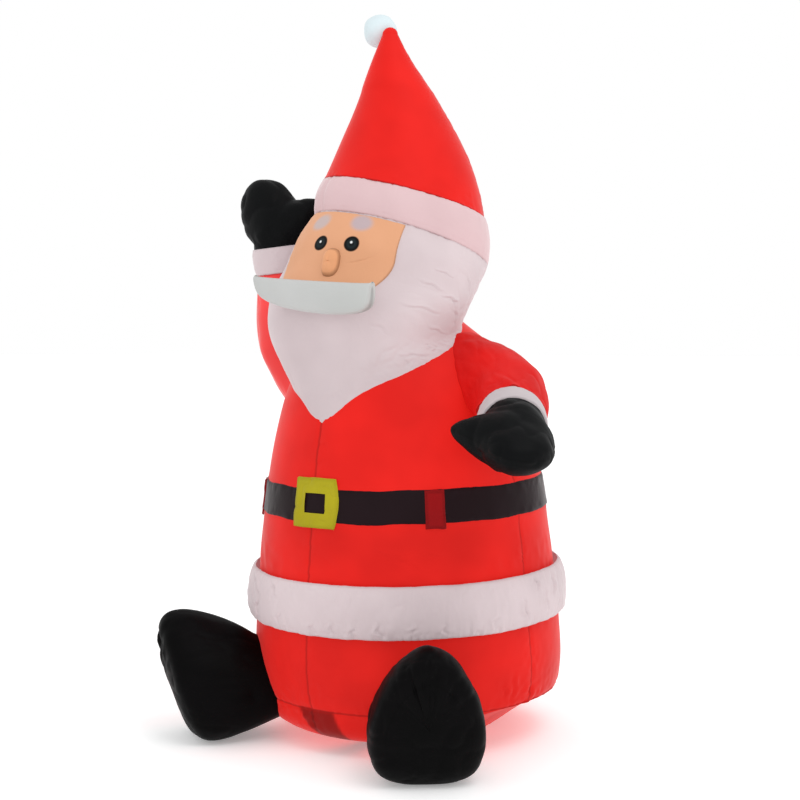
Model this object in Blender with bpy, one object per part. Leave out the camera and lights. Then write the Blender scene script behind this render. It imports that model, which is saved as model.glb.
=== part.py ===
"""Seated Santa, an air-blown nylon figure about 1.22 m tall.

Metres, +Z up. The figure faces -Y, its left hand is at +X, and the origin is
on the floor under the middle of the body. Sizes are first worked out for an
upright figure, and lean_forward() then tips everything above the seat.
"""

import math

import bmesh
import bpy
from mathutils import Matrix, Vector

# Clearances and fabric
GAP = 0.0003
SKIN_GAP = 0.0009
FABRIC = 0.0025

# Facets
BODY_SIDES = 36
HEAD_SIDES = 36
LIMB_SIDES = 16

# Pose
LEAN_ANGLE = math.radians(2.0)
LEAN_BLEND = 0.14

# Body, as radius at a height
SEAT_RADIUS = 0.120
SEAT_CURVE_HEIGHT = 0.030
SEAT_CURVE_RADIUS = 0.222
SEAT_SEAM_HEIGHT = 0.078
SEAT_SEAM_RADIUS = 0.248
SEAT_LIFT = 1.0
HIP_HEIGHT = 0.150
HIP_RADIUS = 0.257
WAIST_HEIGHT = 0.385
WAIST_RADIUS = 0.2370
CHEST_HEIGHT = 0.548
CHEST_RADIUS = 0.205
SHOULDER_HEIGHT = 0.626
SHOULDER_RADIUS = 0.168
NECK_HEIGHT = SHOULDER_HEIGHT + 0.060
NECK_RADIUS = 0.102
BODY_LEVELS = 16

# Hem trim
TRIM_HEIGHT = 0.244
TRIM_WIDTH = 0.082
TRIM_PUFF = 0.015

# Belt with its buckle and loops
BELT_HEIGHT = 0.403
BELT_WIDTH = 0.056
BUCKLE_WIDTH = 0.087
BUCKLE_HEIGHT = 0.078
BUCKLE_RISE = 0.004
BUCKLE_HOLE_WIDTH = 0.040
BUCKLE_HOLE_HEIGHT = 0.032
LOOP_WIDTH = 0.032
LOOP_HEIGHT = 0.060
LOOP_DROP = 0.004
LOOP_ANGLE = math.radians(48.0)

# Beard seam on the chest, as a height that falls towards the front
BEARD_DROP = 0.130
BEARD_TIP_DROP = 0.044
BEARD_TIP_ANGLE = math.radians(14.0)
BEARD_ROLL = 0.010
BEARD_ROOT = 0.008

# Head sections: middle x and y, half width, half depth, height, slope along x, slope along y
BEARD_SECTION = (-0.029, -0.060, 0.165, 0.150, NECK_HEIGHT - 0.001, -0.03, 0.17)
JAW_SECTION = (-0.025, -0.054, 0.175, 0.153, NECK_HEIGHT + 0.036, -0.06, 0.02)
CHEEK_SECTION = (-0.017, -0.032, 0.169, 0.146, NECK_HEIGHT + 0.072, -0.10, -0.10)
TEMPLE_SECTION = (-0.0065, -0.0165, 0.1575, 0.1495, NECK_HEIGHT + 0.106, -0.13, -0.20)
BAND_LOW_SECTION = (0.000, 0.003, 0.145, 0.142, NECK_HEIGHT + 0.136, -0.14, -0.33)
BAND_MIDDLE_SECTION = (0.000, 0.010, 0.145, 0.143, NECK_HEIGHT + 0.174, -0.15, -0.285)
BAND_TOP_SECTION = (0.000, 0.016, 0.136, 0.134, NECK_HEIGHT + 0.209, -0.16, -0.24)
HEAD_STEPS = 3

# Hat above the band: share of the way up, middle y and radius at a few heights
HAT_TOP = NECK_HEIGHT + 0.494
HAT_STATIONS = (
    (0.145, 0.020, 0.1240),
    (0.325, 0.017, 0.1035),
    (0.582, 0.004, 0.0670),
    (0.666, -0.003, 0.0545),
    (0.823, -0.013, 0.0305),
    (0.955, -0.015, 0.0130),
)
POMPOM_RADIUS = 0.028
POMPOM_CENTRE = Vector((-0.033, 0.000, HAT_TOP))

# Face, nose and moustache
FACE_HALF_ANGLE = math.radians(40.0)
FACE_TAPER = 0.42
FACE_LOW = 2.0
FACE_HIGH = 4.96
NOSE_CENTRE = (math.radians(3.6), 3.17)
NOSE_WIDTH = 0.033
NOSE_HEIGHT = 0.048
NOSE_LENGTH = 0.017
MOUSTACHE_CENTRE = Vector((-0.008, -0.222, NECK_HEIGHT + 0.063))
MOUSTACHE_HALF_WIDTH = 0.120
MOUSTACHE_RISE = 0.012
MOUSTACHE_DROP = 0.038
MOUSTACHE_SKEW = 0.12
MOUSTACHE_BLUNTNESS = 0.15
MOUSTACHE_SLANT = 0.35
MOUSTACHE_THICKNESS = 0.038
MOUSTACHE_ROLL = math.radians(4.0)
FACE_CUT_MARGIN = 0.02
HEAD_CUT_DEPTH = 0.02

# Arms: points on the middle line and radii, from inside the body to the wrist
RIGHT_ARM = (
    Vector((-0.140, 0.000, SHOULDER_HEIGHT - 0.081)),
    Vector((-0.230, -0.012, SHOULDER_HEIGHT + 0.026)),
    Vector((-0.238, -0.025, SHOULDER_HEIGHT + 0.151)),
)
LEFT_ARM = (
    Vector((0.120, 0.000, SHOULDER_HEIGHT - 0.028)),
    Vector((0.233, -0.040, SHOULDER_HEIGHT - 0.053)),
    Vector((0.298, -0.128, SHOULDER_HEIGHT - 0.084)),
)
ARM_RADII = (0.072, 0.062, 0.050)
CUFF_LENGTH = 0.046
CUFF_PUFF = 0.003
RIGHT_HAND_AXIS = Vector((-0.52, -0.06, 0.84))
RIGHT_THUMB_AXIS = Vector((0.85, 0.10, 0.52))
LEFT_HAND_AXIS = Vector((0.58, -0.76, -0.30))
LEFT_THUMB_AXIS = Vector((-0.92, -0.33, 0.22))
MITTEN_LENGTH = 0.102
MITTEN_WIDTH = 0.116
MITTEN_THICKNESS = 0.084
THUMB_LENGTH = 0.100
THUMB_RADIUS = 0.052
RIGHT_THUMB_ROOT = -0.05
LEFT_THUMB_ROOT = 0.30
THUMB_POINT = 0.62
THUMB_FOOT = 0.84
THUMB_SIDES = 10
THUMB_STEPS = 5

# Boots
BOOT_ANGLE = math.radians(40.5)
BOOT_HEIGHT = 0.212
BOOT_WIDTH = 0.174
BOOT_SOLE_DISTANCE = 0.372
BOOT_SOLE_TILT = math.tan(math.radians(17.0))
BOOT_ROOT_DISTANCE = 0.185
BOOT_LOW_SHARE = 0.31
BOOT_TIP_SHARE = 0.60

FRONT = -math.pi / 2
TURN = 2 * math.pi


def clear_scene():
    """Remove what the file holds, so that the script can be run again."""
    for thing in list(bpy.data.objects):
        bpy.data.objects.remove(thing, do_unlink=True)


def finish_named(name, colour, roughness=0.55):
    """A plain coated-nylon finish in one colour."""
    material = bpy.data.materials.new(name)
    material.use_nodes = True
    shader = material.node_tree.nodes["Principled BSDF"]
    shader.inputs["Base Color"].default_value = (*colour, 1.0)
    shader.inputs["Roughness"].default_value = roughness
    shader.inputs["Metallic"].default_value = 0.0
    material.diffuse_color = (*colour, 1.0)
    return material


def lean_forward(point):
    """Tip a point of the upright figure towards -Y, not at all at the floor."""
    angle = LEAN_ANGLE * min(max(point.z / LEAN_BLEND, 0.0), 1.0)
    turned = Matrix.Rotation(angle, 3, "X") @ point
    return Vector((turned.x, turned.y, turned.z))


def through(stations, t):
    """Point at t on a smooth curve that passes station number k at t = k."""
    last = len(stations) - 1
    k = min(int(t), last - 1)
    s = t - k
    before = stations[max(k - 1, 0)]
    start, end = stations[k], stations[k + 1]
    after = stations[min(k + 2, last)]
    values = []
    for b, p, q, a in zip(before, start, end, after):
        slope_p = (q - b) / 2 if k > 0 else q - p
        slope_q = (a - p) / 2 if k + 2 <= last else q - p
        values.append(
            p * (2 * s**3 - 3 * s**2 + 1)
            + slope_p * (s**3 - 2 * s**2 + s)
            + q * (3 * s**2 - 2 * s**3)
            + slope_q * (s**3 - s**2)
        )
    return values


def make_object(name, points, faces, material):
    """One closed, smooth-shaded object; a grown copy of it gets the same triangles."""
    mesh = bpy.data.meshes.new(name)
    mesh.from_pydata([tuple(p) for p in points], [], faces)
    mesh.update()
    shape = bmesh.new()
    shape.from_mesh(mesh)
    bmesh.ops.recalc_face_normals(shape, faces=shape.faces)
    bmesh.ops.triangulate(shape, faces=shape.faces, quad_method="FIXED")
    shape.to_mesh(mesh)
    shape.free()
    mesh.shade_smooth()
    mesh.materials.append(material)
    thing = bpy.data.objects.new(name, mesh)
    bpy.context.scene.collection.objects.link(thing)
    return thing


def loft(name, rings, material):
    """Skin rings of equal count one after another; a ring of one point closes an end."""
    points, starts = [], []
    for ring in rings:
        starts.append(len(points))
        points.extend(ring)
    sides = max(len(ring) for ring in rings)
    faces = []
    for lower, upper, a, b in zip(rings, rings[1:], starts, starts[1:]):
        for i in range(sides):
            j = (i + 1) % sides
            if len(lower) == 1:
                faces.append((a, b + j, b + i))
            elif len(upper) == 1:
                faces.append((a + i, a + j, b))
            else:
                faces.append((a + i, a + j, b + j, b + i))
    if len(rings[0]) > 1:
        faces.append(tuple(range(sides))[::-1])
    if len(rings[-1]) > 1:
        faces.append(tuple(starts[-1] + i for i in range(sides)))
    return make_object(name, points, faces, material)


def turned_band(name, section, sides, material):
    """Turn a closed (radius, height) section round the body's axis."""
    points, faces = [], []
    count = len(section)
    for i in range(sides):
        angle = TURN * i / sides
        for radius, height in section:
            upright = Vector((radius * math.cos(angle), radius * math.sin(angle), height))
            points.append(lean_forward(upright))
    for i in range(sides):
        j = (i + 1) % sides
        for k in range(count):
            m = (k + 1) % count
            faces.append((i * count + k, j * count + k, j * count + m, i * count + m))
    return make_object(name, points, faces, material)


def plate(name, surface, us, vs, keep, near, far, material):
    """A closed skin on surface(u, v, offset), on the kept cells of the grid us by vs."""
    points, index, faces = [], {}, []

    def corner(i, j, side):
        key = (i, j, side)
        if key not in index:
            index[key] = len(points)
            points.append(surface(us[i], vs[j], far if side else near))
        return index[key]

    cells = {(i, j) for i in range(len(us) - 1) for j in range(len(vs) - 1) if keep(i, j)}
    for i, j in sorted(cells):
        ring = ((i, j), (i + 1, j), (i + 1, j + 1), (i, j + 1))
        faces.append(tuple(corner(*c, 1) for c in ring))
        faces.append(tuple(corner(*c, 0) for c in reversed(ring)))
        beside = ((i, j - 1), (i + 1, j), (i, j + 1), (i - 1, j))
        for k, neighbour in enumerate(beside):
            if neighbour not in cells:
                a, b = ring[k], ring[(k + 1) % 4]
                faces.append((corner(*a, 0), corner(*b, 0), corner(*b, 1), corner(*a, 1)))
    return make_object(name, points, faces, material)


def cut(thing, cutter):
    """Take a cutter away from a thing for good, and drop the cutter."""
    cutter.hide_render = True
    cutter.display_type = "WIRE"
    boolean = thing.modifiers.new("clearance", "BOOLEAN")
    boolean.operation = "DIFFERENCE"
    boolean.solver = "EXACT"
    boolean.object = cutter
    keep_result(thing)
    bpy.data.objects.remove(cutter, do_unlink=True)


def join(thing, other):
    """Make one body of two that overlap."""
    boolean = thing.modifiers.new("union", "BOOLEAN")
    boolean.operation = "UNION"
    boolean.solver = "EXACT"
    boolean.object = other
    keep_result(thing)
    bpy.data.objects.remove(other, do_unlink=True)


def keep_result(thing):
    """Replace the object's mesh by what its modifiers make of it."""
    bpy.context.view_layer.update()
    shape = thing.evaluated_get(bpy.context.evaluated_depsgraph_get())
    mesh = bpy.data.meshes.new_from_object(shape)
    thing.modifiers.clear()
    thing.data = mesh


BODY_PROFILE = (
    (0.0, SEAT_RADIUS),
    (SEAT_CURVE_HEIGHT, SEAT_CURVE_RADIUS),
    (SEAT_SEAM_HEIGHT, SEAT_SEAM_RADIUS),
    (HIP_HEIGHT, HIP_RADIUS),
    (WAIST_HEIGHT, WAIST_RADIUS),
    (CHEST_HEIGHT, CHEST_RADIUS),
    (SHOULDER_HEIGHT, SHOULDER_RADIUS),
    (NECK_HEIGHT, NECK_RADIUS),
)


def body_radius(height):
    """Radius of the red body at a height, on a smooth curve through its profile."""
    k = 0
    while k < len(BODY_PROFILE) - 2 and BODY_PROFILE[k + 1][0] <= height:
        k += 1
    (z0, r0), (z1, r1) = BODY_PROFILE[k], BODY_PROFILE[k + 1]
    before = BODY_PROFILE[max(k - 1, 0)]
    after = BODY_PROFILE[min(k + 2, len(BODY_PROFILE) - 1)]
    slope0 = (r1 - before[1]) / (z1 - before[0])
    slope1 = (after[1] - r0) / (after[0] - z0)
    span = z1 - z0
    s = (height - z0) / span
    return (
        r0 * (2 * s**3 - 3 * s**2 + 1)
        + slope0 * span * (s**3 - 2 * s**2 + s)
        + r1 * (3 * s**2 - 2 * s**3)
        + slope1 * span * (s**3 - s**2)
    )


def body_heights():
    """Heights of the body's rings, with one at each edge of the belt and trim."""
    named = {0.0, NECK_HEIGHT, SEAT_SEAM_HEIGHT, SEAT_CURVE_HEIGHT, SEAT_CURVE_HEIGHT / 3}
    for middle, width in ((BELT_HEIGHT, BELT_WIDTH), (TRIM_HEIGHT, TRIM_WIDTH)):
        named |= {middle - width / 2, middle, middle + width / 2}
    step = NECK_HEIGHT / BODY_LEVELS
    for k in range(1, BODY_LEVELS):
        if all(abs(k * step - height) > step * 0.45 for height in named):
            named.add(k * step)
    return sorted(named)


def seat_lift(x, height):
    """How far the underside is raised towards the figure's left side."""
    share = (x - SEAT_RADIUS) / (SEAT_SEAM_RADIUS - SEAT_RADIUS)
    return SEAT_LIFT * min(max(share, 0.0), 1.0) * max(SEAT_SEAM_HEIGHT - height, 0.0)


def body_rings(extra):
    """The body's rings, grown by extra all round."""
    rings = []
    heights = body_heights()
    for height in heights:
        grown = height
        if height == heights[0]:
            grown -= extra
        if height == heights[-1]:
            grown += extra
        radius = body_radius(height) + extra
        ring = []
        for i in range(BODY_SIDES):
            angle = TURN * i / BODY_SIDES
            lift = seat_lift(body_radius(height) * math.cos(angle), height)
            upright = Vector((radius * math.cos(angle), radius * math.sin(angle), grown + lift))
            ring.append(lean_forward(upright))
        rings.append(ring)
    return rings


def body_skin(angle, height, offset):
    """Point off the body's surface; the angle turns from the front to the figure's left."""
    radius = body_radius(height) + offset
    return lean_forward(Vector((radius * math.sin(angle), -radius * math.cos(angle), height)))


def section_point(section, turn, grow=0.0):
    """Point of a head section at a turn round it, before the lean."""
    x, y, half_width, half_depth, height, slope_x, slope_y = section
    px = x + (half_width + grow) * math.cos(turn)
    py = y + (half_depth + grow) * math.sin(turn)
    return Vector((px, py, height + slope_x * px + slope_y * py))


def beard_seam(turn):
    """Point just inside the body where the white envelope starts."""
    off_front = math.atan2(math.sin(turn - FRONT), math.cos(turn - FRONT))
    drop = BEARD_DROP * ((1 + math.cos(off_front)) / 2) ** 2
    tip = BEARD_TIP_DROP * math.exp(-((off_front / BEARD_TIP_ANGLE) ** 2))
    height = NECK_HEIGHT - drop - tip + BEARD_ROLL * math.cos(turn) * (drop / BEARD_DROP)
    radius = body_radius(height) - BEARD_ROOT
    return Vector((radius * math.cos(turn), radius * math.sin(turn), height))


def head_point(turn, v):
    """Point of the head's surface: v is 0 at the beard's seam and 5 at the hat band."""
    stations = [beard_seam(turn)]
    for section in (BEARD_SECTION, JAW_SECTION, CHEEK_SECTION, TEMPLE_SECTION, BAND_LOW_SECTION):
        stations.append(section_point(section, turn))
    return Vector(through(stations, v))


def head_normal(turn, v):
    """Outward direction of the head's surface."""
    small = 0.01
    low, high = max(v - small, 0.0), min(v + small, 5.0)
    along = head_point(turn + small, v) - head_point(turn - small, v)
    up = head_point(turn, high) - head_point(turn, low)
    return along.cross(up).normalized()


def head_skin(turn, v, offset):
    """Point off the head's surface, leaned with the figure; turn is off the front."""
    at = turn + FRONT
    return lean_forward(head_point(at, v) + head_normal(at, v) * offset)


def head_mesh(name, extra, material):
    """The white envelope of hair and beard, grown by extra."""
    rings = [[lean_forward(Vector((0.0, 0.0, CHEST_HEIGHT)))]]
    for k in range(5 * HEAD_STEPS + 1):
        v = k / HEAD_STEPS
        ring = []
        for i in range(HEAD_SIDES):
            turn = TURN * i / HEAD_SIDES
            ring.append(lean_forward(head_point(turn, v) + head_normal(turn, v) * extra))
        rings.append(ring)
    return loft(name, rings, material)


def section_ring(section, lift=0.0, grow=0.0):
    """A whole head section as a leaned ring."""
    ring = []
    for i in range(HEAD_SIDES):
        point = section_point(section, TURN * i / HEAD_SIDES, grow)
        ring.append(lean_forward(point + Vector((0.0, 0.0, lift))))
    return ring


def make_hat_band(material):
    """The white band, puffed between its two seams."""
    stations = (BAND_LOW_SECTION, BAND_MIDDLE_SECTION, BAND_TOP_SECTION)
    rings = []
    steps = 6
    for k in range(steps + 1):
        t = 2 * k / steps
        lift = GAP if k == 0 else 0.0
        rings.append(section_ring(through(stations, t), lift))
    return loft("hat_band", rings, material)


def make_hat(name, extra, material):
    """The red cone, from the band's top seam to a small rounded tip."""
    x, y, half_width, half_depth, height, slope_x, slope_y = BAND_TOP_SECTION
    rise = HAT_TOP - height
    stations = [BAND_TOP_SECTION]
    for share, middle, radius in HAT_STATIONS:
        flatter = (1 - share) ** 2
        stations.append(
            (x, middle, radius, radius, height + rise * share, slope_x * flatter, slope_y * flatter)
        )
    rings = []
    per_station = 2
    for k in range(per_station * (len(stations) - 1) + 1):
        lift = GAP - extra if k == 0 else 0.0
        rings.append(section_ring(through(stations, k / per_station), lift, extra))
    last = stations[-1]
    rings.append([lean_forward(Vector((last[0], last[1], HAT_TOP + extra)))])
    return loft(name, rings, material)


def face_skin(across, up, offset):
    """Point off the face: across from -1 to 1, up from 0 at the moustache to 1 at the hat band."""
    taper = FACE_TAPER * max(1 - 2 * up, 0.0) ** 2
    turn = FACE_HALF_ANGLE * (1 - taper) * across
    return head_skin(turn, FACE_LOW + (FACE_HIGH - FACE_LOW) * up, offset)


def make_face(name, near, far, margin, material):
    """The peach panel on the front of the head, wider by a share of itself on each side."""
    columns, rows = 11, 8
    us = [(2 * i / columns - 1) * (1 + margin) for i in range(columns + 1)]
    vs = [j / rows * (1 + margin) - margin / 2 for j in range(rows + 1)]
    return plate(name, face_skin, us, vs, lambda i, j: True, near, far, material)


def make_nose(material):
    """A short stuffed bulb on the face."""
    turn, v = NOSE_CENTRE
    here = head_skin(turn, v, 0.0)
    small = 0.05
    across = (head_skin(turn + small, v, 0.0) - here) / small
    up = (head_skin(turn, v + small, 0.0) - here) / small
    base = SKIN_GAP * 2 + FABRIC
    sides, steps = 16, 5
    rings = [[head_skin(turn, v, base)]]
    heights = [0.0] + [math.sin(math.pi / 2 * k / steps) for k in range(steps)] + [1.0]
    spreads = [0.7] + [math.cos(math.pi / 2 * k / steps) ** 0.7 for k in range(steps)] + [0.0]
    for height, spread in zip(heights, spreads):
        ring = []
        for i in range(sides):
            angle = TURN * i / sides
            du = spread * NOSE_WIDTH / 2 * math.cos(angle) / across.length
            dv = spread * NOSE_HEIGHT / 2 * math.sin(angle) / up.length
            ring.append(head_skin(turn + du, v + dv, base + NOSE_LENGTH * height))
            if spread == 0.0:
                break
        rings.append(ring)
    return loft("nose", rings, material)


def make_moustache(material):
    """A stuffed crescent with a straight upper edge, its ends free of the cheeks."""
    columns, sides = 14, 12
    roll = Matrix.Rotation(MOUSTACHE_ROLL, 3, "Y")
    rings = []
    for k in range(columns + 1):
        share = math.sin(math.pi / 2 * (2 * k / columns - 1))
        x = MOUSTACHE_HALF_WIDTH * share
        fullness = math.cos(math.pi / 2 * share) ** MOUSTACHE_BLUNTNESS if abs(share) < 1 else 0.0
        top = MOUSTACHE_RISE * (1 - 0.4 * fullness)
        depth = (MOUSTACHE_RISE + MOUSTACHE_DROP) * (1 + MOUSTACHE_SKEW * share)
        bottom = top - depth * fullness
        slant = MOUSTACHE_SLANT * max(-share, 0.0) ** 2
        ring = []
        for i in range(sides):
            angle = TURN * i / sides
            y = MOUSTACHE_THICKNESS / 2 * fullness * math.cos(angle)
            z = (top + bottom) / 2 + (top - bottom) / 2 * math.sin(angle)
            place = Vector((x + slant * (top - z), y, z))
            ring.append(lean_forward(MOUSTACHE_CENTRE + roll @ place))
            if fullness == 0.0:
                break
        rings.append(ring)
    return loft("moustache", rings, material)


def frame_along(direction, side):
    """Two unit vectors across a direction, the first one as near side as it can be."""
    direction = direction.normalized()
    across = (side - direction * side.dot(direction)).normalized()
    return across, direction.cross(across)


def oval_ring(middle, across, thick, half_width, half_thickness, sides=LIMB_SIDES):
    """A leaned oval ring in the plane of two unit vectors."""
    ring = []
    for i in range(sides):
        angle = TURN * i / sides
        point = middle + across * (half_width * math.cos(angle))
        ring.append(lean_forward(point + thick * (half_thickness * math.sin(angle))))
    return ring


def arm_line(path, t):
    """Point, direction and radius on an arm's middle line."""
    middle = Vector(through(path, t))
    ahead = Vector(through(path, min(t + 0.02, 2.0))) - Vector(through(path, max(t - 0.02, 0.0)))
    radius = through([(r,) for r in ARM_RADII], t)[0]
    return middle, ahead.normalized(), radius


def make_sleeve(name, path, side, material):
    """A sleeve from inside the body to its cuff."""
    rings = []
    steps = 8
    for k in range(steps + 1):
        middle, ahead, radius = arm_line(path, 2 * k / steps)
        across, thick = frame_along(ahead, side)
        rings.append(oval_ring(middle, across, thick, radius, radius))
    return loft(name, rings, material)


def make_cuff(name, path, side, material):
    """A puffed cuff that carries on from the sleeve's end."""
    middle, ahead, radius = arm_line(path, 2.0)
    across, thick = frame_along(ahead, side)
    rings = []
    steps = 6
    for k in range(steps + 1):
        share = k / steps
        puff = CUFF_PUFF * math.sin(math.pi * share) ** 0.6 if 0 < k < steps else 0.0
        at = middle + ahead * (GAP + (CUFF_LENGTH - GAP) * share)
        rings.append(oval_ring(at, across, thick, radius + puff, radius + puff))
    return loft(name, rings, material)


def make_mitten(name, path, hand_axis, thumb_axis, thumb_root, material):
    """A mitten as a flattened bag from the cuff's end, its thumb rooted at a share of its length."""
    middle, ahead, radius = arm_line(path, 2.0)
    cuff_across, cuff_thick = frame_along(ahead, thumb_axis)
    wrist = middle + ahead * (CUFF_LENGTH + GAP)
    axis = hand_axis.normalized()
    across, thick = frame_along(axis, thumb_axis)
    wrist_radius = radius - CUFF_PUFF / 2
    rings = [oval_ring(wrist, cuff_across, cuff_thick, wrist_radius, wrist_radius)]
    steps = 8
    start = wrist + ahead * (radius * 0.55)
    for k in range(steps):
        share = k / steps
        at = start + axis * (MITTEN_LENGTH * share)
        round_off = math.sqrt(max(1 - share**2.6, 0.0))
        width = radius + (MITTEN_WIDTH / 2 - radius) * math.sin(math.pi / 2 * min(share * 2, 1))
        depth = radius + (MITTEN_THICKNESS / 2 - radius) * min(share * 2.5, 1)
        rings.append(oval_ring(at, across, thick, width * round_off, depth * round_off))
    rings.append([lean_forward(start + axis * MITTEN_LENGTH)])
    mitten = loft(name, rings, material)
    thumb_dir = thumb_axis.normalized()
    t_across, t_thick = frame_along(thumb_dir, axis)
    root = start + axis * (MITTEN_LENGTH * thumb_root)
    thumb_rings = []
    for k in range(THUMB_STEPS):
        share = k / THUMB_STEPS
        swell = THUMB_RADIUS * (1 - share) ** THUMB_POINT * (THUMB_FOOT if k == 0 else 1.0)
        at = root + thumb_dir * (THUMB_LENGTH * share)
        ring = []
        for i in range(THUMB_SIDES):
            angle = TURN * i / THUMB_SIDES
            point = at + t_across * (swell * math.cos(angle)) + t_thick * (swell * math.sin(angle))
            behind = min((point - wrist).dot(ahead) - GAP, 0.0)
            ring.append(lean_forward(point - ahead * behind))
        thumb_rings.append(ring)
    thumb_rings.append([lean_forward(root + thumb_dir * THUMB_LENGTH)])
    join(mitten, loft("thumb", thumb_rings, material))
    return mitten


def boot_outline(half_angle):
    """Half width and height shares of the sole's onion outline at an angle from its foot."""
    level = -math.cos(half_angle)
    peak = (BOOT_LOW_SHARE - BOOT_TIP_SHARE) / (BOOT_LOW_SHARE + BOOT_TIP_SHARE)
    most = (1 + peak) ** BOOT_LOW_SHARE * (1 - peak) ** BOOT_TIP_SHARE
    width = max(1 + level, 0.0) ** BOOT_LOW_SHARE * max(1 - level, 0.0) ** BOOT_TIP_SHARE / most
    return width, (1 + level) / 2


def make_boot(name, turn, material):
    """A boot that lies heel down with its toe up and its sole facing out."""
    outward = Vector((math.sin(turn), -math.cos(turn), 0.0))
    sideways = Vector((math.cos(turn), math.sin(turn), 0.0))
    # share of the way out, width share, height share, sole height, share of the sole's tilt
    stations = (
        (0.00, 0.64, 0.46, 0.050, 0.0),
        (0.28, 0.82, 0.61, 0.030, 0.2),
        (0.58, 0.98, 0.88, 0.009, 0.5),
        (0.80, 1.00, 1.00, 0.000, 0.8),
        (0.93, 0.95, 0.91, 0.006, 1.0),
        (1.00, 0.78, 0.68, 0.024, 1.0),
    )
    sides = 18
    steps = 9
    rings = []
    reach = BOOT_SOLE_DISTANCE - BOOT_ROOT_DISTANCE
    for k in range(steps + 1):
        share, wide, high, low, tilt = through(stations, (len(stations) - 1) * k / steps)
        ring = []
        for i in range(sides):
            around = TURN * i / sides
            width, level = boot_outline(around if around <= math.pi else TURN - around)
            side = 1.0 if around <= math.pi else -1.0
            height = max(low + BOOT_HEIGHT * high * level, 0.0)
            out = BOOT_ROOT_DISTANCE + reach * share + height * BOOT_SOLE_TILT * tilt
            aside = side * width * wide * BOOT_WIDTH / 2
            ring.append(outward * out + sideways * aside + Vector((0, 0, height)))
        rings.append(ring)
    return loft(name, rings, material)


def make_trim(material):
    """The puffed trim round the hips, its back on the body."""
    low, high = TRIM_HEIGHT - TRIM_WIDTH / 2, TRIM_HEIGHT + TRIM_WIDTH / 2
    inner = [(body_radius(z) + GAP, z) for z in body_heights() if low - 1e-9 <= z <= high + 1e-9]
    outer = []
    steps = 7
    for k in range(1, steps):
        angle = math.pi * k / steps
        height = TRIM_HEIGHT + TRIM_WIDTH / 2 * math.cos(angle)
        outer.append((body_radius(height) + GAP + FABRIC + TRIM_PUFF * math.sin(angle) ** 0.6, height))
    return turned_band("hem_trim", inner + outer, BODY_SIDES, material)


def make_belt(material):
    """The black band round the waist."""
    low, high = BELT_HEIGHT - BELT_WIDTH / 2, BELT_HEIGHT + BELT_WIDTH / 2
    heights = [z for z in body_heights() if low - 1e-9 <= z <= high + 1e-9]
    inner = [(body_radius(z) + GAP, z) for z in heights]
    outer = [(body_radius(z) + GAP + FABRIC, z) for z in reversed(heights)]
    return turned_band("belt", inner + outer, BODY_SIDES, material)


def make_patch(name, turn, middle, size, hole_size, material):
    """A cloth patch over the belt, with a square hole if the hole's size is more than 0."""
    width, height = size
    hole_width, hole_height = hole_size
    middle_radius = body_radius(BELT_HEIGHT)
    half, hole = width / 2 / middle_radius, hole_width / 2 / middle_radius
    us = sorted({turn - half, turn - hole, turn, turn + hole, turn + half})
    levels = {-height / 2, -hole_height / 2, 0.0, hole_height / 2, height / 2}
    vs = sorted(middle + level for level in levels)
    near = GAP + FABRIC + SKIN_GAP

    def keep(i, j):
        return not (hole and 0 < i < 3 and 0 < j < 3)

    return plate(name, body_skin, us, vs, keep, near, near + FABRIC, material)


def make_pompom(material):
    """A stuffed ball beside the hat's tip."""
    rings = [[lean_forward(POMPOM_CENTRE - Vector((0, 0, POMPOM_RADIUS)))]]
    steps = 8
    for k in range(1, steps):
        angle = math.pi * k / steps
        at = POMPOM_CENTRE - Vector((0, 0, POMPOM_RADIUS * math.cos(angle)))
        radius = POMPOM_RADIUS * math.sin(angle)
        rings.append(oval_ring(at, Vector((1, 0, 0)), Vector((0, 1, 0)), radius, radius, 16))
    rings.append([lean_forward(POMPOM_CENTRE + Vector((0, 0, POMPOM_RADIUS)))])
    return loft("pompom", rings, material)


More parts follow.
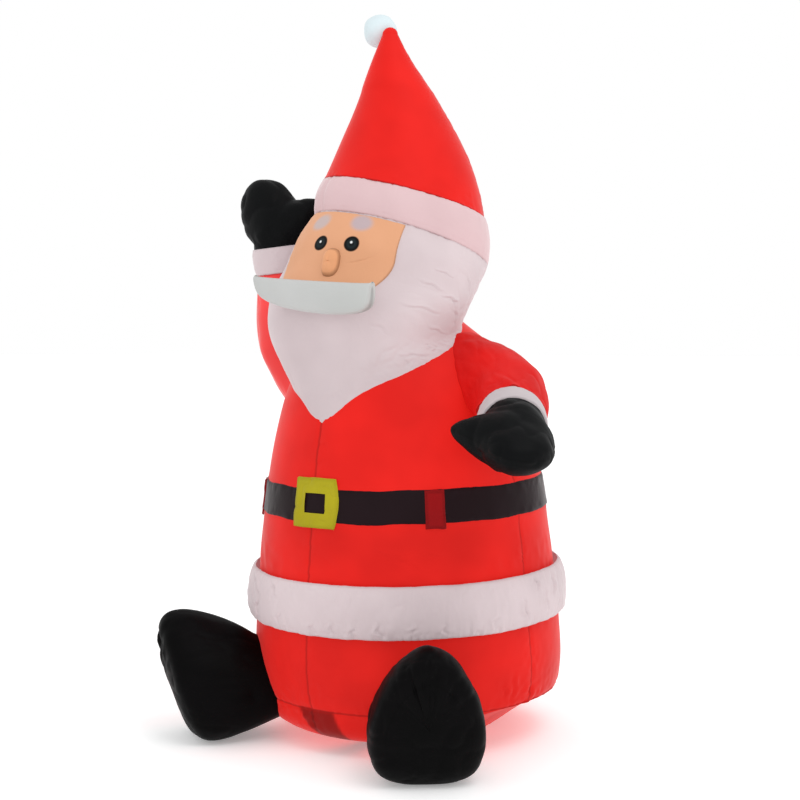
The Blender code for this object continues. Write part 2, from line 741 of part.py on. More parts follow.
def main():
    """Build every piece where it belongs."""
    clear_scene()
    red = finish_named("red nylon", (0.83, 0.02, 0.015))
    dark_red = finish_named("dark red nylon", (0.38, 0.006, 0.009))
    white = finish_named("white nylon", (0.78, 0.68, 0.69))
    peach = finish_named("peach nylon", (0.80, 0.40, 0.22))
    black = finish_named("black nylon", (0.006, 0.006, 0.007), 0.45)
    yellow = finish_named("yellow nylon", (0.58, 0.52, 0.04))

    loft("body", body_rings(0.0), red)
    make_belt(black)
    make_trim(white)
    hole = (BUCKLE_HOLE_WIDTH, BUCKLE_HOLE_HEIGHT)
    make_patch("buckle", 0.0, BELT_HEIGHT + BUCKLE_RISE, (BUCKLE_WIDTH, BUCKLE_HEIGHT), hole, yellow)
    loop = (BELT_HEIGHT - LOOP_DROP, (LOOP_WIDTH, LOOP_HEIGHT), (0.0, 0.0), dark_red)
    make_patch("belt_loop_left", LOOP_ANGLE, *loop)
    make_patch("belt_loop_right", -LOOP_ANGLE, *loop)

    head = head_mesh("head", 0.0, white)
    cut(head, loft("body cutter", body_rings(GAP), red))
    make_face("face", SKIN_GAP, SKIN_GAP + FABRIC, 0.0, peach)
    make_nose(peach)
    moustache = make_moustache(white)
    face_cutter = make_face("face cutter", -HEAD_CUT_DEPTH, 2 * SKIN_GAP + FABRIC, FACE_CUT_MARGIN, peach)
    cut(moustache, face_cutter)
    cut(moustache, head_mesh("head cutter", SKIN_GAP, white))
    make_hat_band(white)
    make_hat("hat", 0.0, red)
    pompom = make_pompom(white)
    cut(pompom, make_hat("hat cutter", GAP, red))

    arms = (
        ("right", RIGHT_ARM, RIGHT_HAND_AXIS, RIGHT_THUMB_AXIS, RIGHT_THUMB_ROOT),
        ("left", LEFT_ARM, LEFT_HAND_AXIS, LEFT_THUMB_AXIS, LEFT_THUMB_ROOT),
    )
    for side, path, hand_axis, thumb_axis, thumb_root in arms:
        sleeve = make_sleeve(f"sleeve_{side}", path, thumb_axis, red)
        cut(sleeve, loft("body cutter", body_rings(GAP), red))
        cut(sleeve, head_mesh("head cutter", GAP, white))
        make_cuff(f"cuff_{side}", path, thumb_axis, white)
        make_mitten(f"mitten_{side}", path, hand_axis, thumb_axis, thumb_root, black)

    for side, turn in (("right", -BOOT_ANGLE), ("left", BOOT_ANGLE)):
        boot = make_boot(f"boot_{side}", turn, black)
        cut(boot, loft("body cutter", body_rings(GAP), red))


main()
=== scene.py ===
"""Looks of a seated, air-blown Santa, sewn from coated polyester taffeta and lit from inside.

Metres, +Z up. The figure faces -Y and its left hand is at +X. Sizes are those of an upright
figure, and lean() tips everything above the seat forward. An angle called off is measured at
the body's axis, from the front towards the figure's left.
"""

import logging
import math
from dataclasses import dataclass
from enum import Enum

import bmesh
import bpy
import numpy as np
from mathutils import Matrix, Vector


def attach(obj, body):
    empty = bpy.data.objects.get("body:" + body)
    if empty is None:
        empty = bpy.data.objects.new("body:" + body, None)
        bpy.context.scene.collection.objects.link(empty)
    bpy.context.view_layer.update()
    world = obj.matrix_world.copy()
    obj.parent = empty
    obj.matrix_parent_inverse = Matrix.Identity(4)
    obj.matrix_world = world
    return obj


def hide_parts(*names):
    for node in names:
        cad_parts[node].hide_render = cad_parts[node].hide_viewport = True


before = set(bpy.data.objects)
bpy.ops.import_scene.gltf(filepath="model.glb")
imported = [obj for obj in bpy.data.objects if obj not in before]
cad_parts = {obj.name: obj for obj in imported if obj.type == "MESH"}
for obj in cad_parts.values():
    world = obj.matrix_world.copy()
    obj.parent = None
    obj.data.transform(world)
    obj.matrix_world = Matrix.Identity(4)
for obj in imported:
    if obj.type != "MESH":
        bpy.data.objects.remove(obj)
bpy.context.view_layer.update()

logging.basicConfig(level=logging.INFO, format="%(message)s")
log = logging.getLogger("santa")

Array = np.ndarray
Thing = bpy.types.Object
Tree = bpy.types.NodeTree
Socket = bpy.types.NodeSocket
TURN = 2 * math.pi
FRONT = -math.pi / 2
MM = 0.001
LEAN_ANGLE = math.radians(2.0)
LEAN_BLEND = 0.14


class Side(Enum):
    """The figure's own right and left."""

    RIGHT = -1
    LEFT = 1

    @property
    def word(self) -> str:
        """The side as the CAD nodes spell it."""
        return self.name.lower()


def unit(vectors: Array) -> Array:
    """Vectors of length one along the last axis."""
    return vectors / np.maximum(np.linalg.norm(vectors, axis=-1, keepdims=True), 1e-12)


def lean(points: Array) -> Array:
    """Tip points of the upright figure towards -Y, not at all at the floor.

    Args:
        points: any array whose last axis is x, y, z.

    Returns:
        An array of the same shape.
    """
    angle = LEAN_ANGLE * np.clip(points[..., 2] / LEAN_BLEND, 0.0, 1.0)
    y = points[..., 1] * np.cos(angle) - points[..., 2] * np.sin(angle)
    z = points[..., 1] * np.sin(angle) + points[..., 2] * np.cos(angle)
    return np.stack([points[..., 0], y, z], axis=-1)


def polar(off: Array, radius: Array, height: Array) -> Array:
    """Points at an angle, a distance from the axis and a height."""
    return np.stack([radius * np.sin(off), -radius * np.cos(off), height], axis=-1)


def round_angles(count: int) -> Array:
    """The angles of a closed ring of points."""
    return np.arange(count) * TURN / count


def turn_from(off: Array, seam: float) -> Array:
    """The shorter turn between each angle and a seam's, never negative."""
    return np.abs((off - seam + math.pi) % TURN - math.pi)


def tucked(lift: Array, rim: Array, depth: float) -> Array:
    """A lift that falls to depth millimetres under the surface where rim is 0."""
    return lift * rim - depth * MM * (1 - rim)


def hermite(start: Array, slope: Array, end: Array, last_slope: Array, s: Array) -> Array:
    """A smooth curve from one value to the next.

    Args:
        start: value where s is 0.
        slope: slope there.
        end: value where s is 1.
        last_slope: slope there.
        s: share of the way.

    Returns:
        The value at each share.
    """
    return (
        start * (2 * s**3 - 3 * s**2 + 1)
        + slope * (s**3 - 2 * s**2 + s)
        + end * (3 * s**2 - 2 * s**3)
        + last_slope * (s**3 - s**2)
    )


def through(stations: Array, t: Array) -> Array:
    """Points on a smooth curve that passes station number k at t = k.

    Args:
        stations: stations by points (or by one) by values.
        t: where on the curve each point lies.

    Returns:
        Points by values.
    """
    last = len(stations) - 1
    slopes = np.empty_like(stations)
    slopes[1:-1] = (stations[2:] - stations[:-2]) / 2
    slopes[0] = stations[1] - stations[0]
    slopes[-1] = stations[-1] - stations[-2]
    k = np.clip(t.astype(int), 0, last - 1)
    s = (t - k)[:, None]
    own = np.arange(len(t)) if stations.shape[1] > 1 else 0
    ends = stations[k, own], slopes[k, own], stations[k + 1, own], slopes[k + 1, own]
    return hermite(*ends, s)


def curve(stations: tuple, t: Array) -> Array:
    """Points by values on the smooth curve through rows of plain numbers."""
    return through(np.array(stations, float)[:, None, :], np.asarray(t, float))


def smooth_step(low: float, high: float, x: Array) -> Array:
    """0 below low, 1 above high and a smooth rise between."""
    t = np.clip((x - low) / (high - low), 0.0, 1.0)
    return t * t * (3 - 2 * t)


def bell(x: Array, middle: float, width: float) -> Array:
    """A soft hump of height 1 that falls off over width."""
    return np.exp(-(((x - middle) / width) ** 2))


# How lattice() scatters cells and seeds over its values
CELL_FACTORS = (374761393, 668265263, 1274126177)
SEED_FACTOR = 69069
STIR_FACTOR = 1103515245
BITS_32 = 0xFFFFFFFF
BITS_24 = 0xFFFFFF
# Where Gathers reads how its folds' reach varies, away from the folds themselves
REACH_ROW = 7.0


def lattice(cell: Array, seed: int) -> Array:
    """A repeatable random number between -1 and 1 for each whole-numbered cell.

    Args:
        cell: whole numbers, three for each point.
        seed: which noise.

    Returns:
        One value for each cell.
    """
    h = sum(cell[..., i] * CELL_FACTORS[i] for i in range(3)) + seed * SEED_FACTOR
    h = (h ^ (h >> 13)) & BITS_32
    h = (h * STIR_FACTOR) & BITS_32
    h = (h ^ (h >> 16)) & BITS_24
    return h / (BITS_24 // 2) - 1.0


def noise(points: Array, size: float, seed: int) -> Array:
    """Smooth noise between -1 and 1.

    Args:
        points: any array whose last axis has one to three coordinates in metres.
        size: metres from one random value to the next.
        seed: which noise.

    Returns:
        One value for each point.
    """
    full = np.zeros((*points.shape[:-1], 3))
    full[..., : points.shape[-1]] = points
    scaled = full / size
    cell = np.floor(scaled).astype(np.int64)
    f = scaled - cell
    f = f * f * f * (f * (f * 6 - 15) + 10)
    total = np.zeros(points.shape[:-1])
    for corner in range(8):
        step = np.array([corner & 1, corner >> 1 & 1, corner >> 2 & 1])
        weight = np.prod(np.where(step == 1, f, 1 - f), axis=-1)
        total += weight * lattice(cell + step, seed)
    return total


@dataclass(frozen=True)
class Gathers:
    """Small folds that run away from a seam and die out, as sewing thread draws them up.

    Sizes are in millimetres: from fold to fold, how far they run, and how deep they are.
    """

    spacing: float
    reach: float
    depth: float
    seed: int

    def relief(self, along: Array, away: Array) -> Array:
        """Height of the folds in metres.

        Args:
            along: metres along the seam.
            away: metres away from it, never negative.

        Returns:
            Metres, in and out of the cloth.
        """
        size = self.spacing / 2 * MM
        reach = self.reach * MM
        line = np.stack([along, np.full_like(away, REACH_ROW)], axis=-1)
        varied = reach * (1.0 + 0.7 * noise(line, size * 3, self.seed + 1))
        folds = crisp(noise(np.stack([along, away * size / reach], axis=-1), size, self.seed))
        return self.depth * MM * folds * np.exp(-away / varied)


@dataclass(frozen=True)
class Crease:
    """One crisp fold between two points of the cloth in metres; depth and width in millimetres."""

    start: tuple[float, float]
    end: tuple[float, float]
    depth: float = 2.0
    width: float = 2.6

    def relief(self, x: Array, y: Array) -> Array:
        """Height of the fold in metres, a groove with a soft ridge beside it.

        Args:
            x: metres round or across the cloth.
            y: metres up it.

        Returns:
            Metres, in and out of the cloth.
        """
        dx, dy = self.end[0] - self.start[0], self.end[1] - self.start[1]
        length = math.hypot(dx, dy)
        along = ((x - self.start[0]) * dx + (y - self.start[1]) * dy) / length
        aside = ((y - self.start[1]) * dx - (x - self.start[0]) * dy) / length
        share = np.clip(along / length, 0.0, 1.0)
        past = along - share * length
        width = self.width * MM
        aside = aside + width * np.sin(share * 9.0)
        fade = np.sin(math.pi * np.clip(share, 0.02, 0.98)) ** 0.6 * np.exp(-((past / width) ** 2))
        ridge = 0.7 * np.exp(-(((aside - 2.2 * width) / (1.6 * width)) ** 2))
        return self.depth * MM * fade * (ridge - np.exp(-((aside / width) ** 2)))


def creases_of(*rows: tuple[float, ...]) -> tuple[Crease, ...]:
    """Creases from rows of start x and y, end x and y, depth and perhaps width."""
    return tuple(Crease(row[:2], row[2:4], *row[4:]) for row in rows)


def crisp(folds: Array) -> Array:
    """Turn soft waves into round bulges with sharp valleys between them."""
    return 1.5 * np.abs(folds) ** 0.8 - 0.5


def groove(away: Array, depth: float, width: float) -> Array:
    """The dip in which a seam lies; depth and width in millimetres."""
    return -depth * MM * np.exp(-((away / (width * MM)) ** 2))


def streaks(points: Array, axis: tuple, length: float, width: float, seed: int) -> Array:
    """Long thin folds, between -1 and 1, that run along an axis.

    Args:
        points: points in metres.
        axis: direction of the folds.
        length: metres along a fold.
        width: metres across it.
        seed: which noise.

    Returns:
        One value for each point.
    """
    along = unit(np.array(axis, float))
    run = points @ along
    rest = points - run[..., None] * along
    bent = rest + 0.35 * width * noise(points, length * 0.6, seed + 5)[..., None]
    return noise(bent + (run * width / length)[..., None] * along, width, seed)


def spin_normals(grid: Array) -> Array:
    """Outward normals of a closed grid, rows going up and columns going round to the left.

    Args:
        grid: rows by columns by x, y, z.

    Returns:
        A vector of length one for each point.
    """
    across = np.roll(grid, -1, axis=1) - np.roll(grid, 1, axis=1)
    return unit(np.cross(across, np.gradient(grid, axis=0)))


def raised(base: Array, lift: Array) -> Array:
    """Points of a closed grid moved out along its normals."""
    return base + spin_normals(base) * lift[..., None]


def run_lengths(grid: Array, axis: int) -> Array:
    """Metres from the grid's first row or column, measured on the surface.

    Args:
        grid: rows by columns by x, y, z.
        axis: 0 to run up the rows, 1 to run across the columns.

    Returns:
        Metres for each point.
    """
    steps = np.linalg.norm(np.diff(grid, axis=axis), axis=-1)
    zero = np.zeros_like(np.take(steps, [0], axis=axis))
    return np.concatenate([zero, np.cumsum(steps, axis=axis)], axis=axis)


def stand(name: str, data: bpy.types.ID) -> Thing:
    """A new object in the scene.

    Args:
        name: its name.
        data: its mesh, camera or lamp.

    Returns:
        The object.
    """
    thing = bpy.data.objects.new(name, data)
    bpy.context.scene.collection.objects.link(thing)
    return thing


def sew(
    name: str,
    grid: Array,
    cloth: Array,
    shade: Array | float = 1.0,
    wrap: bool = True,
    capped: bool = True,
) -> Thing:
    """Make a smooth mesh of a grid of points.

    Args:
        name: the piece's name.
        grid: rows by columns by x, y, z, already leaned.
        cloth: for each point, metres along and across the cloth and to the nearest seam.
        shade: for each point, how bright its colour is, which carries painted shade.
        wrap: whether the last column meets the first.
        capped: whether the first and the last row are closed.

    Returns:
        The new object.
    """
    rows, columns = grid.shape[:2]
    shade = np.broadcast_to(shade, (rows, columns))
    shades = [shade.ravel()]
    points = [grid.reshape(-1, 3)]
    marks = [cloth.reshape(-1, 3)]
    index = np.arange(rows * columns).reshape(rows, columns)
    right = np.roll(index, -1, axis=1) if wrap else index[:, 1:]
    left = index if wrap else index[:, :-1]
    faces = np.stack([left[:-1], right[:-1], right[1:], left[1:]], axis=-1).reshape(-1, 4).tolist()
    count = rows * columns
    for row in (0, rows - 1) if capped else ():
        points.append(grid[row].mean(axis=0, keepdims=True))
        marks.append(cloth[row].mean(axis=0, keepdims=True))
        shades.append(shade[row].mean(keepdims=True))
        for a, b in zip(left[row].tolist(), right[row].tolist()):
            faces.append((b, a, count) if row == 0 else (a, b, count))
        count += 1
    mesh = bpy.data.meshes.new(name)
    mesh.from_pydata(np.concatenate(points).tolist(), [], faces)
    mesh.shade_smooth()
    mark_points(mesh, np.concatenate(marks), np.concatenate(shades))
    return stand(name, mesh)


def mark_points(mesh: bpy.types.Mesh, marks: Array, shades: Array) -> None:
    """Store each point's cloth measures and how bright its colour is, its painted shade.

    Args:
        mesh: the mesh.
        marks: three measures for each point.
        shades: one value for each point.
    """
    for name, kind, key, values in (
        ("cloth", "FLOAT_VECTOR", "vector", marks),
        ("shade", "FLOAT", "value", shades),
    ):
        layer = mesh.attributes.get(name) or mesh.attributes.new(name, kind, "POINT")
        layer.data.foreach_set(key, values.astype(np.float32).ravel())


def marks_of(along: Array, across: Array, seam: Array) -> Array:
    """The three cloth measures of each point in one array."""
    return np.stack(np.broadcast_arrays(along, across, seam), axis=-1)


def linear(hex_colour: str) -> tuple[float, float, float, float]:
    """An sRGB hex colour as linear red, green, blue and an alpha of one.

    Args:
        hex_colour: a number sign and six digits.

    Returns:
        Four values between 0 and 1.
    """
    values = [int(hex_colour[i : i + 2], 16) / 255 for i in (1, 3, 5)]
    parts = [v / 12.92 if v <= 0.04045 else ((v + 0.055) / 1.055) ** 2.4 for v in values]
    return (*parts, 1.0)


def add(tree: Tree, kind: str, inputs: dict | None = None, **settings) -> bpy.types.Node:
    """Add one node with its settings, values and links.

    Args:
        tree: the material's or the world's node tree.
        kind: the node's type.
        inputs: socket names or numbers, each with a value or the socket that feeds it.
        **settings: the node's own properties.

    Returns:
        The new node.
    """
    node = tree.nodes.new(kind)
    for key, value in settings.items():
        setattr(node, key, value)
    feed(node, inputs or {})
    return node


def feed(node: bpy.types.Node, inputs: dict) -> None:
    """Give a node's sockets their values, or the sockets that they are linked to.

    Args:
        node: the node.
        inputs: socket names or numbers, each with a value or a socket.
    """
    for key, value in inputs.items():
        if isinstance(value, Socket):
            node.id_data.links.new(value, node.inputs[key])
        else:
            node.inputs[key].default_value = value


def mix(tree: Tree, share: Socket, first: Socket | tuple, second: Socket | tuple) -> Socket:
    """The first colour where share is 0 and the second where it is 1."""
    colours = {0: share, 6: first, 7: second}
    return add(tree, "ShaderNodeMix", colours, data_type="RGBA").outputs[2]


def remap(tree: Tree, value: Socket, old: tuple, new: tuple = (0.0, 1.0), **settings) -> Socket:
    """A value carried from one pair of ends to another and held there.

    Args:
        tree: the material's node tree.
        value: the socket that gives it.
        old: its two ends.
        new: what they become.
        **settings: the Map Range node's own properties.

    Returns:
        The socket of the new value.
    """
    ends = {"From Min": old[0], "From Max": old[1], "To Min": new[0], "To Max": new[1]}
    return add(tree, "ShaderNodeMapRange", {"Value": value} | ends, **settings).outputs[0]


# A Wave texture of scale 1 repeats after this many metres.
WAVE_PERIOD = TURN / 20
# The real thread spacing is 0.25 mm, too fine to show, so the weave is drawn this coarse.
WEAVE_SPACING = 1.6 * MM


@dataclass(frozen=True)
class Oval:
    """A flat oval on the face panel, in metres across and up from the panel's foot."""

    across: float
    up: float
    half_width: float
    half_height: float
    colour: str
    glow: str
    edge: float

    def mask(self, tree: Tree, panel: Socket) -> Socket:
        """1 inside the oval and 0 outside.

        Args:
            tree: the material's node tree.
            panel: the socket with the panel's metres across and up.

        Returns:
            The mask's socket.
        """
        middle = {0: panel, 1: (self.across, self.up, 0.0)}
        moved = add(tree, "ShaderNodeVectorMath", middle, operation="SUBTRACT").outputs[0]
        size = {0: moved, 1: (1 / self.half_width, 1 / self.half_height, 0.0)}
        scaled = add(tree, "ShaderNodeVectorMath", size, operation="MULTIPLY")
        far = add(tree, "ShaderNodeVectorMath", {0: scaled.outputs[0]}, operation="LENGTH")
        rim = (1 - self.edge, 1 + self.edge)
        return remap(tree, far.outputs["Value"], rim, (1.0, 0.0), interpolation_type="SMOOTHSTEP")


@dataclass(frozen=True)
class Taffeta:
    """Plain-woven polyester taffeta with a thin polyurethane coat.

    It gives the eye a satin surface with soft creases. A lamp inside shines through it, so its
    colour comes partly from the glow, and a seam, where the cloth lies double, shows darker.
    """

    name: str
    cloth: str
    shade: str
    glow: str = "#000000"
    glow_low: str = "#000000"
    roughness: float = 0.6
    specular: float = 0.1
    sheen: float = 0.2
    crease: float = 1.2
    crease_size: float = 26.0
    seam_shade: float = 0.35
    marks: tuple[Oval, ...] = ()

    def seam_mask(self, tree: Tree, cloth: Socket) -> Socket:
        """The finish's seam shade on a seam, falling to 0 three millimetres from it."""
        parts = add(tree, "ShaderNodeSeparateXYZ", {0: cloth})
        return remap(tree, parts.outputs[2], (0.6 * MM, 3.2 * MM), (self.seam_shade, 0.0))

    def bumps(self, tree: Tree, cloth: Socket) -> Socket:
        """The normal of the creased and woven surface.

        Args:
            tree: the material's node tree.
            cloth: the socket with the cloth's measures.

        Returns:
            The normal's socket.
        """
        where = add(tree, "ShaderNodeTexCoord").outputs["Object"]
        crinkle = {"Vector": where, "Scale": 1 / (self.crease_size * MM), "Detail": 5.0}
        crinkle |= {"Roughness": 0.55, "Distortion": 0.6}
        soft = add(tree, "ShaderNodeTexNoise", crinkle)
        folds = {"Height": soft.outputs[0], "Distance": self.crease * MM, "Strength": 0.55}
        creased = add(tree, "ShaderNodeBump", folds)
        threads = {"Vector": cloth, "Scale": WAVE_PERIOD / WEAVE_SPACING}
        warp = add(tree, "ShaderNodeTexWave", threads, bands_direction="X").outputs[1]
        weft = add(tree, "ShaderNodeTexWave", threads, bands_direction="Y").outputs[1]
        woven = add(tree, "ShaderNodeMath", {0: warp, 1: weft}, operation="MULTIPLY")
        bumped = {"Height": woven.outputs[0], "Distance": 0.05 * MM, "Strength": 0.3}
        bumped |= {"Normal": creased.outputs[0]}
        return add(tree, "ShaderNodeBump", bumped).outputs[0]

    def dress(self) -> bpy.types.Material:
        """The finished material.

        Returns:
            A new material.
        """
        material = bpy.data.materials.new(self.name)
        material.use_nodes = True
        tree = material.node_tree
        shader = tree.nodes["Principled BSDF"]
        cloth = add(tree, "ShaderNodeAttribute", attribute_name="cloth").outputs["Vector"]
        shade = add(tree, "ShaderNodeAttribute", attribute_name="shade").outputs["Fac"]
        where = add(tree, "ShaderNodeTexCoord").outputs["Object"]
        clouds = add(tree, "ShaderNodeTexNoise", {"Vector": where, "Scale": 9.0, "Detail": 2.0})
        mottled = remap(tree, clouds.outputs[0], (0.35, 0.65))
        seam = self.seam_mask(tree, cloth)
        for first, second, socket in (
            (self.cloth, self.shade, "Base Color"),
            (self.glow, self.glow_low, "Emission Color"),
        ):
            colour = mix(tree, mottled, linear(first), linear(second))
            colour = mix(tree, seam, colour, linear("#000000"))
            for mark in self.marks:
                layer = linear(mark.colour if socket == "Base Color" else mark.glow)
                colour = mix(tree, mark.mask(tree, cloth), colour, layer)
            # The shade attribute darkens colour and glow where shade is painted.
            shaded = {0: colour, "Scale": shade}
            dimmed = add(tree, "ShaderNodeVectorMath", shaded, operation="SCALE").outputs[0]
            feed(shader, {socket: dimmed})
        gloss = {"Roughness": self.roughness, "Specular IOR Level": self.specular}
        fuzz = {"Sheen Weight": self.sheen, "Sheen Roughness": 0.3}
        feed(shader, gloss | fuzz | {"Emission Strength": 1.0, "Normal": self.bumps(tree, cloth)})
        return material


# Each finish: its name, the cloth's colour and its darker clouds, the glow and its darker clouds
RED = Taffeta(
    "red taffeta, lit", "#B01612", "#A6130F", "#A4150F", "#98110C",
    crease=0.9, crease_size=60.0,
)
# A darker copy of the red with less glow, for the left sleeve: painted shade.
SHADED_SLEEVE_RED = Taffeta(
    "red taffeta, shaded sleeve", "#AE100D", "#A00D0B", "#900B09", "#820908",
    sheen=0.0, crease=1.6,
)
# A lighter copy of the red with a brighter, pinker glow, for the right sleeve: painted light.
BRIGHTLY_LIT_RED = Taffeta(
    "red taffeta, lit more brightly", "#B82421", "#AE1E1C", "#B34242", "#A63737",
    sheen=0.6,
)
LOOP_RED = Taffeta(
    "dark red taffeta, two layers", "#80070B", "#72060A", "#4A0304", "#400304",
    seam_shade=0.2,
)
WHITE = Taffeta(
    "white taffeta, lit", "#BDB2B4", "#B6ABAD", "#695A5C", "#635456",
    sheen=0.3, crease=1.6, seam_shade=0.12,
)
BAND_WHITE = Taffeta(
    "white taffeta, brightly lit", "#BFAAAC", "#BAA5A7", "#705052", "#6B4B4D",
    sheen=0.5, seam_shade=0.08,
)
# A darker copy of the white with less glow, for the left cuff: painted shade.
SHADED_CUFF_WHITE = Taffeta(
    "white taffeta, dim", "#B1AAAC", "#AAA3A5", "#52484A", "#4C4345",
    seam_shade=0.1,
)
PADDING = Taffeta(
    "white taffeta over wadding", "#B8B9B8", "#B3B5B3", "#313130", "#2D2D2C",
    crease=1.1, crease_size=30.0,
)
PLUSH = Taffeta(
    "white taffeta over a ball of wadding", "#C6D2D5", "#C0CCD0", "#585F62", "#52595C",
    crease=1.0,
)
BLACK = Taffeta(
    "black blackout taffeta", "#0C0D0E", "#090A0B",
    roughness=0.5, specular=0.055, sheen=0.0, crease=1.6, crease_size=44.0,
)
BOOT_BLACK = Taffeta(
    "black blackout taffeta, boots", "#060506", "#040404",
    roughness=0.5, specular=0.045, sheen=0.0, crease=1.6, crease_size=40.0,
)
# Its base leans blue: a painted reflection, for the bluish grey that the belt's ends show.
BELT_BLACK = Taffeta(
    "black taffeta belt", "#0A0D11", "#090A0D", "#1A0304", "#140202",
    specular=0.08, sheen=0.45, crease=0.9, crease_size=40.0, seam_shade=0.1,
)
YELLOW = Taffeta(
    "yellow taffeta", "#A69D18", "#968C14", "#38320A", "#332D08",
    crease=1.4, crease_size=18.0, seam_shade=0.08,
)
NOSE = Taffeta(
    "peach taffeta over wadding", "#C48D69", "#BF8762", "#845D42", "#7F583D",
    seam_shade=0.45,
)
# Across and up of each eye's middle on the face panel, in metres
EYES = ((-0.0225, 0.1060), (0.0370, 0.1095))
FACE = Taffeta(
    "peach taffeta, lit", "#C08D6E", "#BB8868", "#7F5D46", "#7A5942",
    crease=1.0, crease_size=36.0,
    marks=(
        Oval(-0.0425, 0.1460, 0.0180, 0.0148, "#AE9F9C", "#5A4A48", 0.35),
        Oval(0.0375, 0.1480, 0.0180, 0.0142, "#A7979A", "#56484A", 0.35),
        *(
            Oval(across + shift, up + rise, size * 0.0133, size * 0.0124, colour, "#000000", edge)
            for across, up in EYES
            for shift, rise, size, colour, edge in (
                (0.0, 0.0, 1.0, "#0B0A0A", 0.10),
                (0.0, 0.0, 0.62, "#1B2629", 0.35),
                (0.0, 0.0, 0.34, "#101416", 0.30),
                (-0.0012, 0.0022, 0.15, "#E6EAEA", 0.60),
            )
        ),
    ),
)


def place(piece: Thing, node: str, finish: Taffeta) -> None:
    """Dress a piece and let it stand for a CAD node.

    Args:
        piece: the piece, in place.
        node: the CAD node that it replaces.
        finish: the cloth that it is made of.
    """
    piece.data.materials.clear()
    piece.data.materials.append(finish.dress())
    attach(piece, "root")
    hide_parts(node)
    log.info("%s: %d faces, for %s", piece.name, len(piece.data.polygons), node)


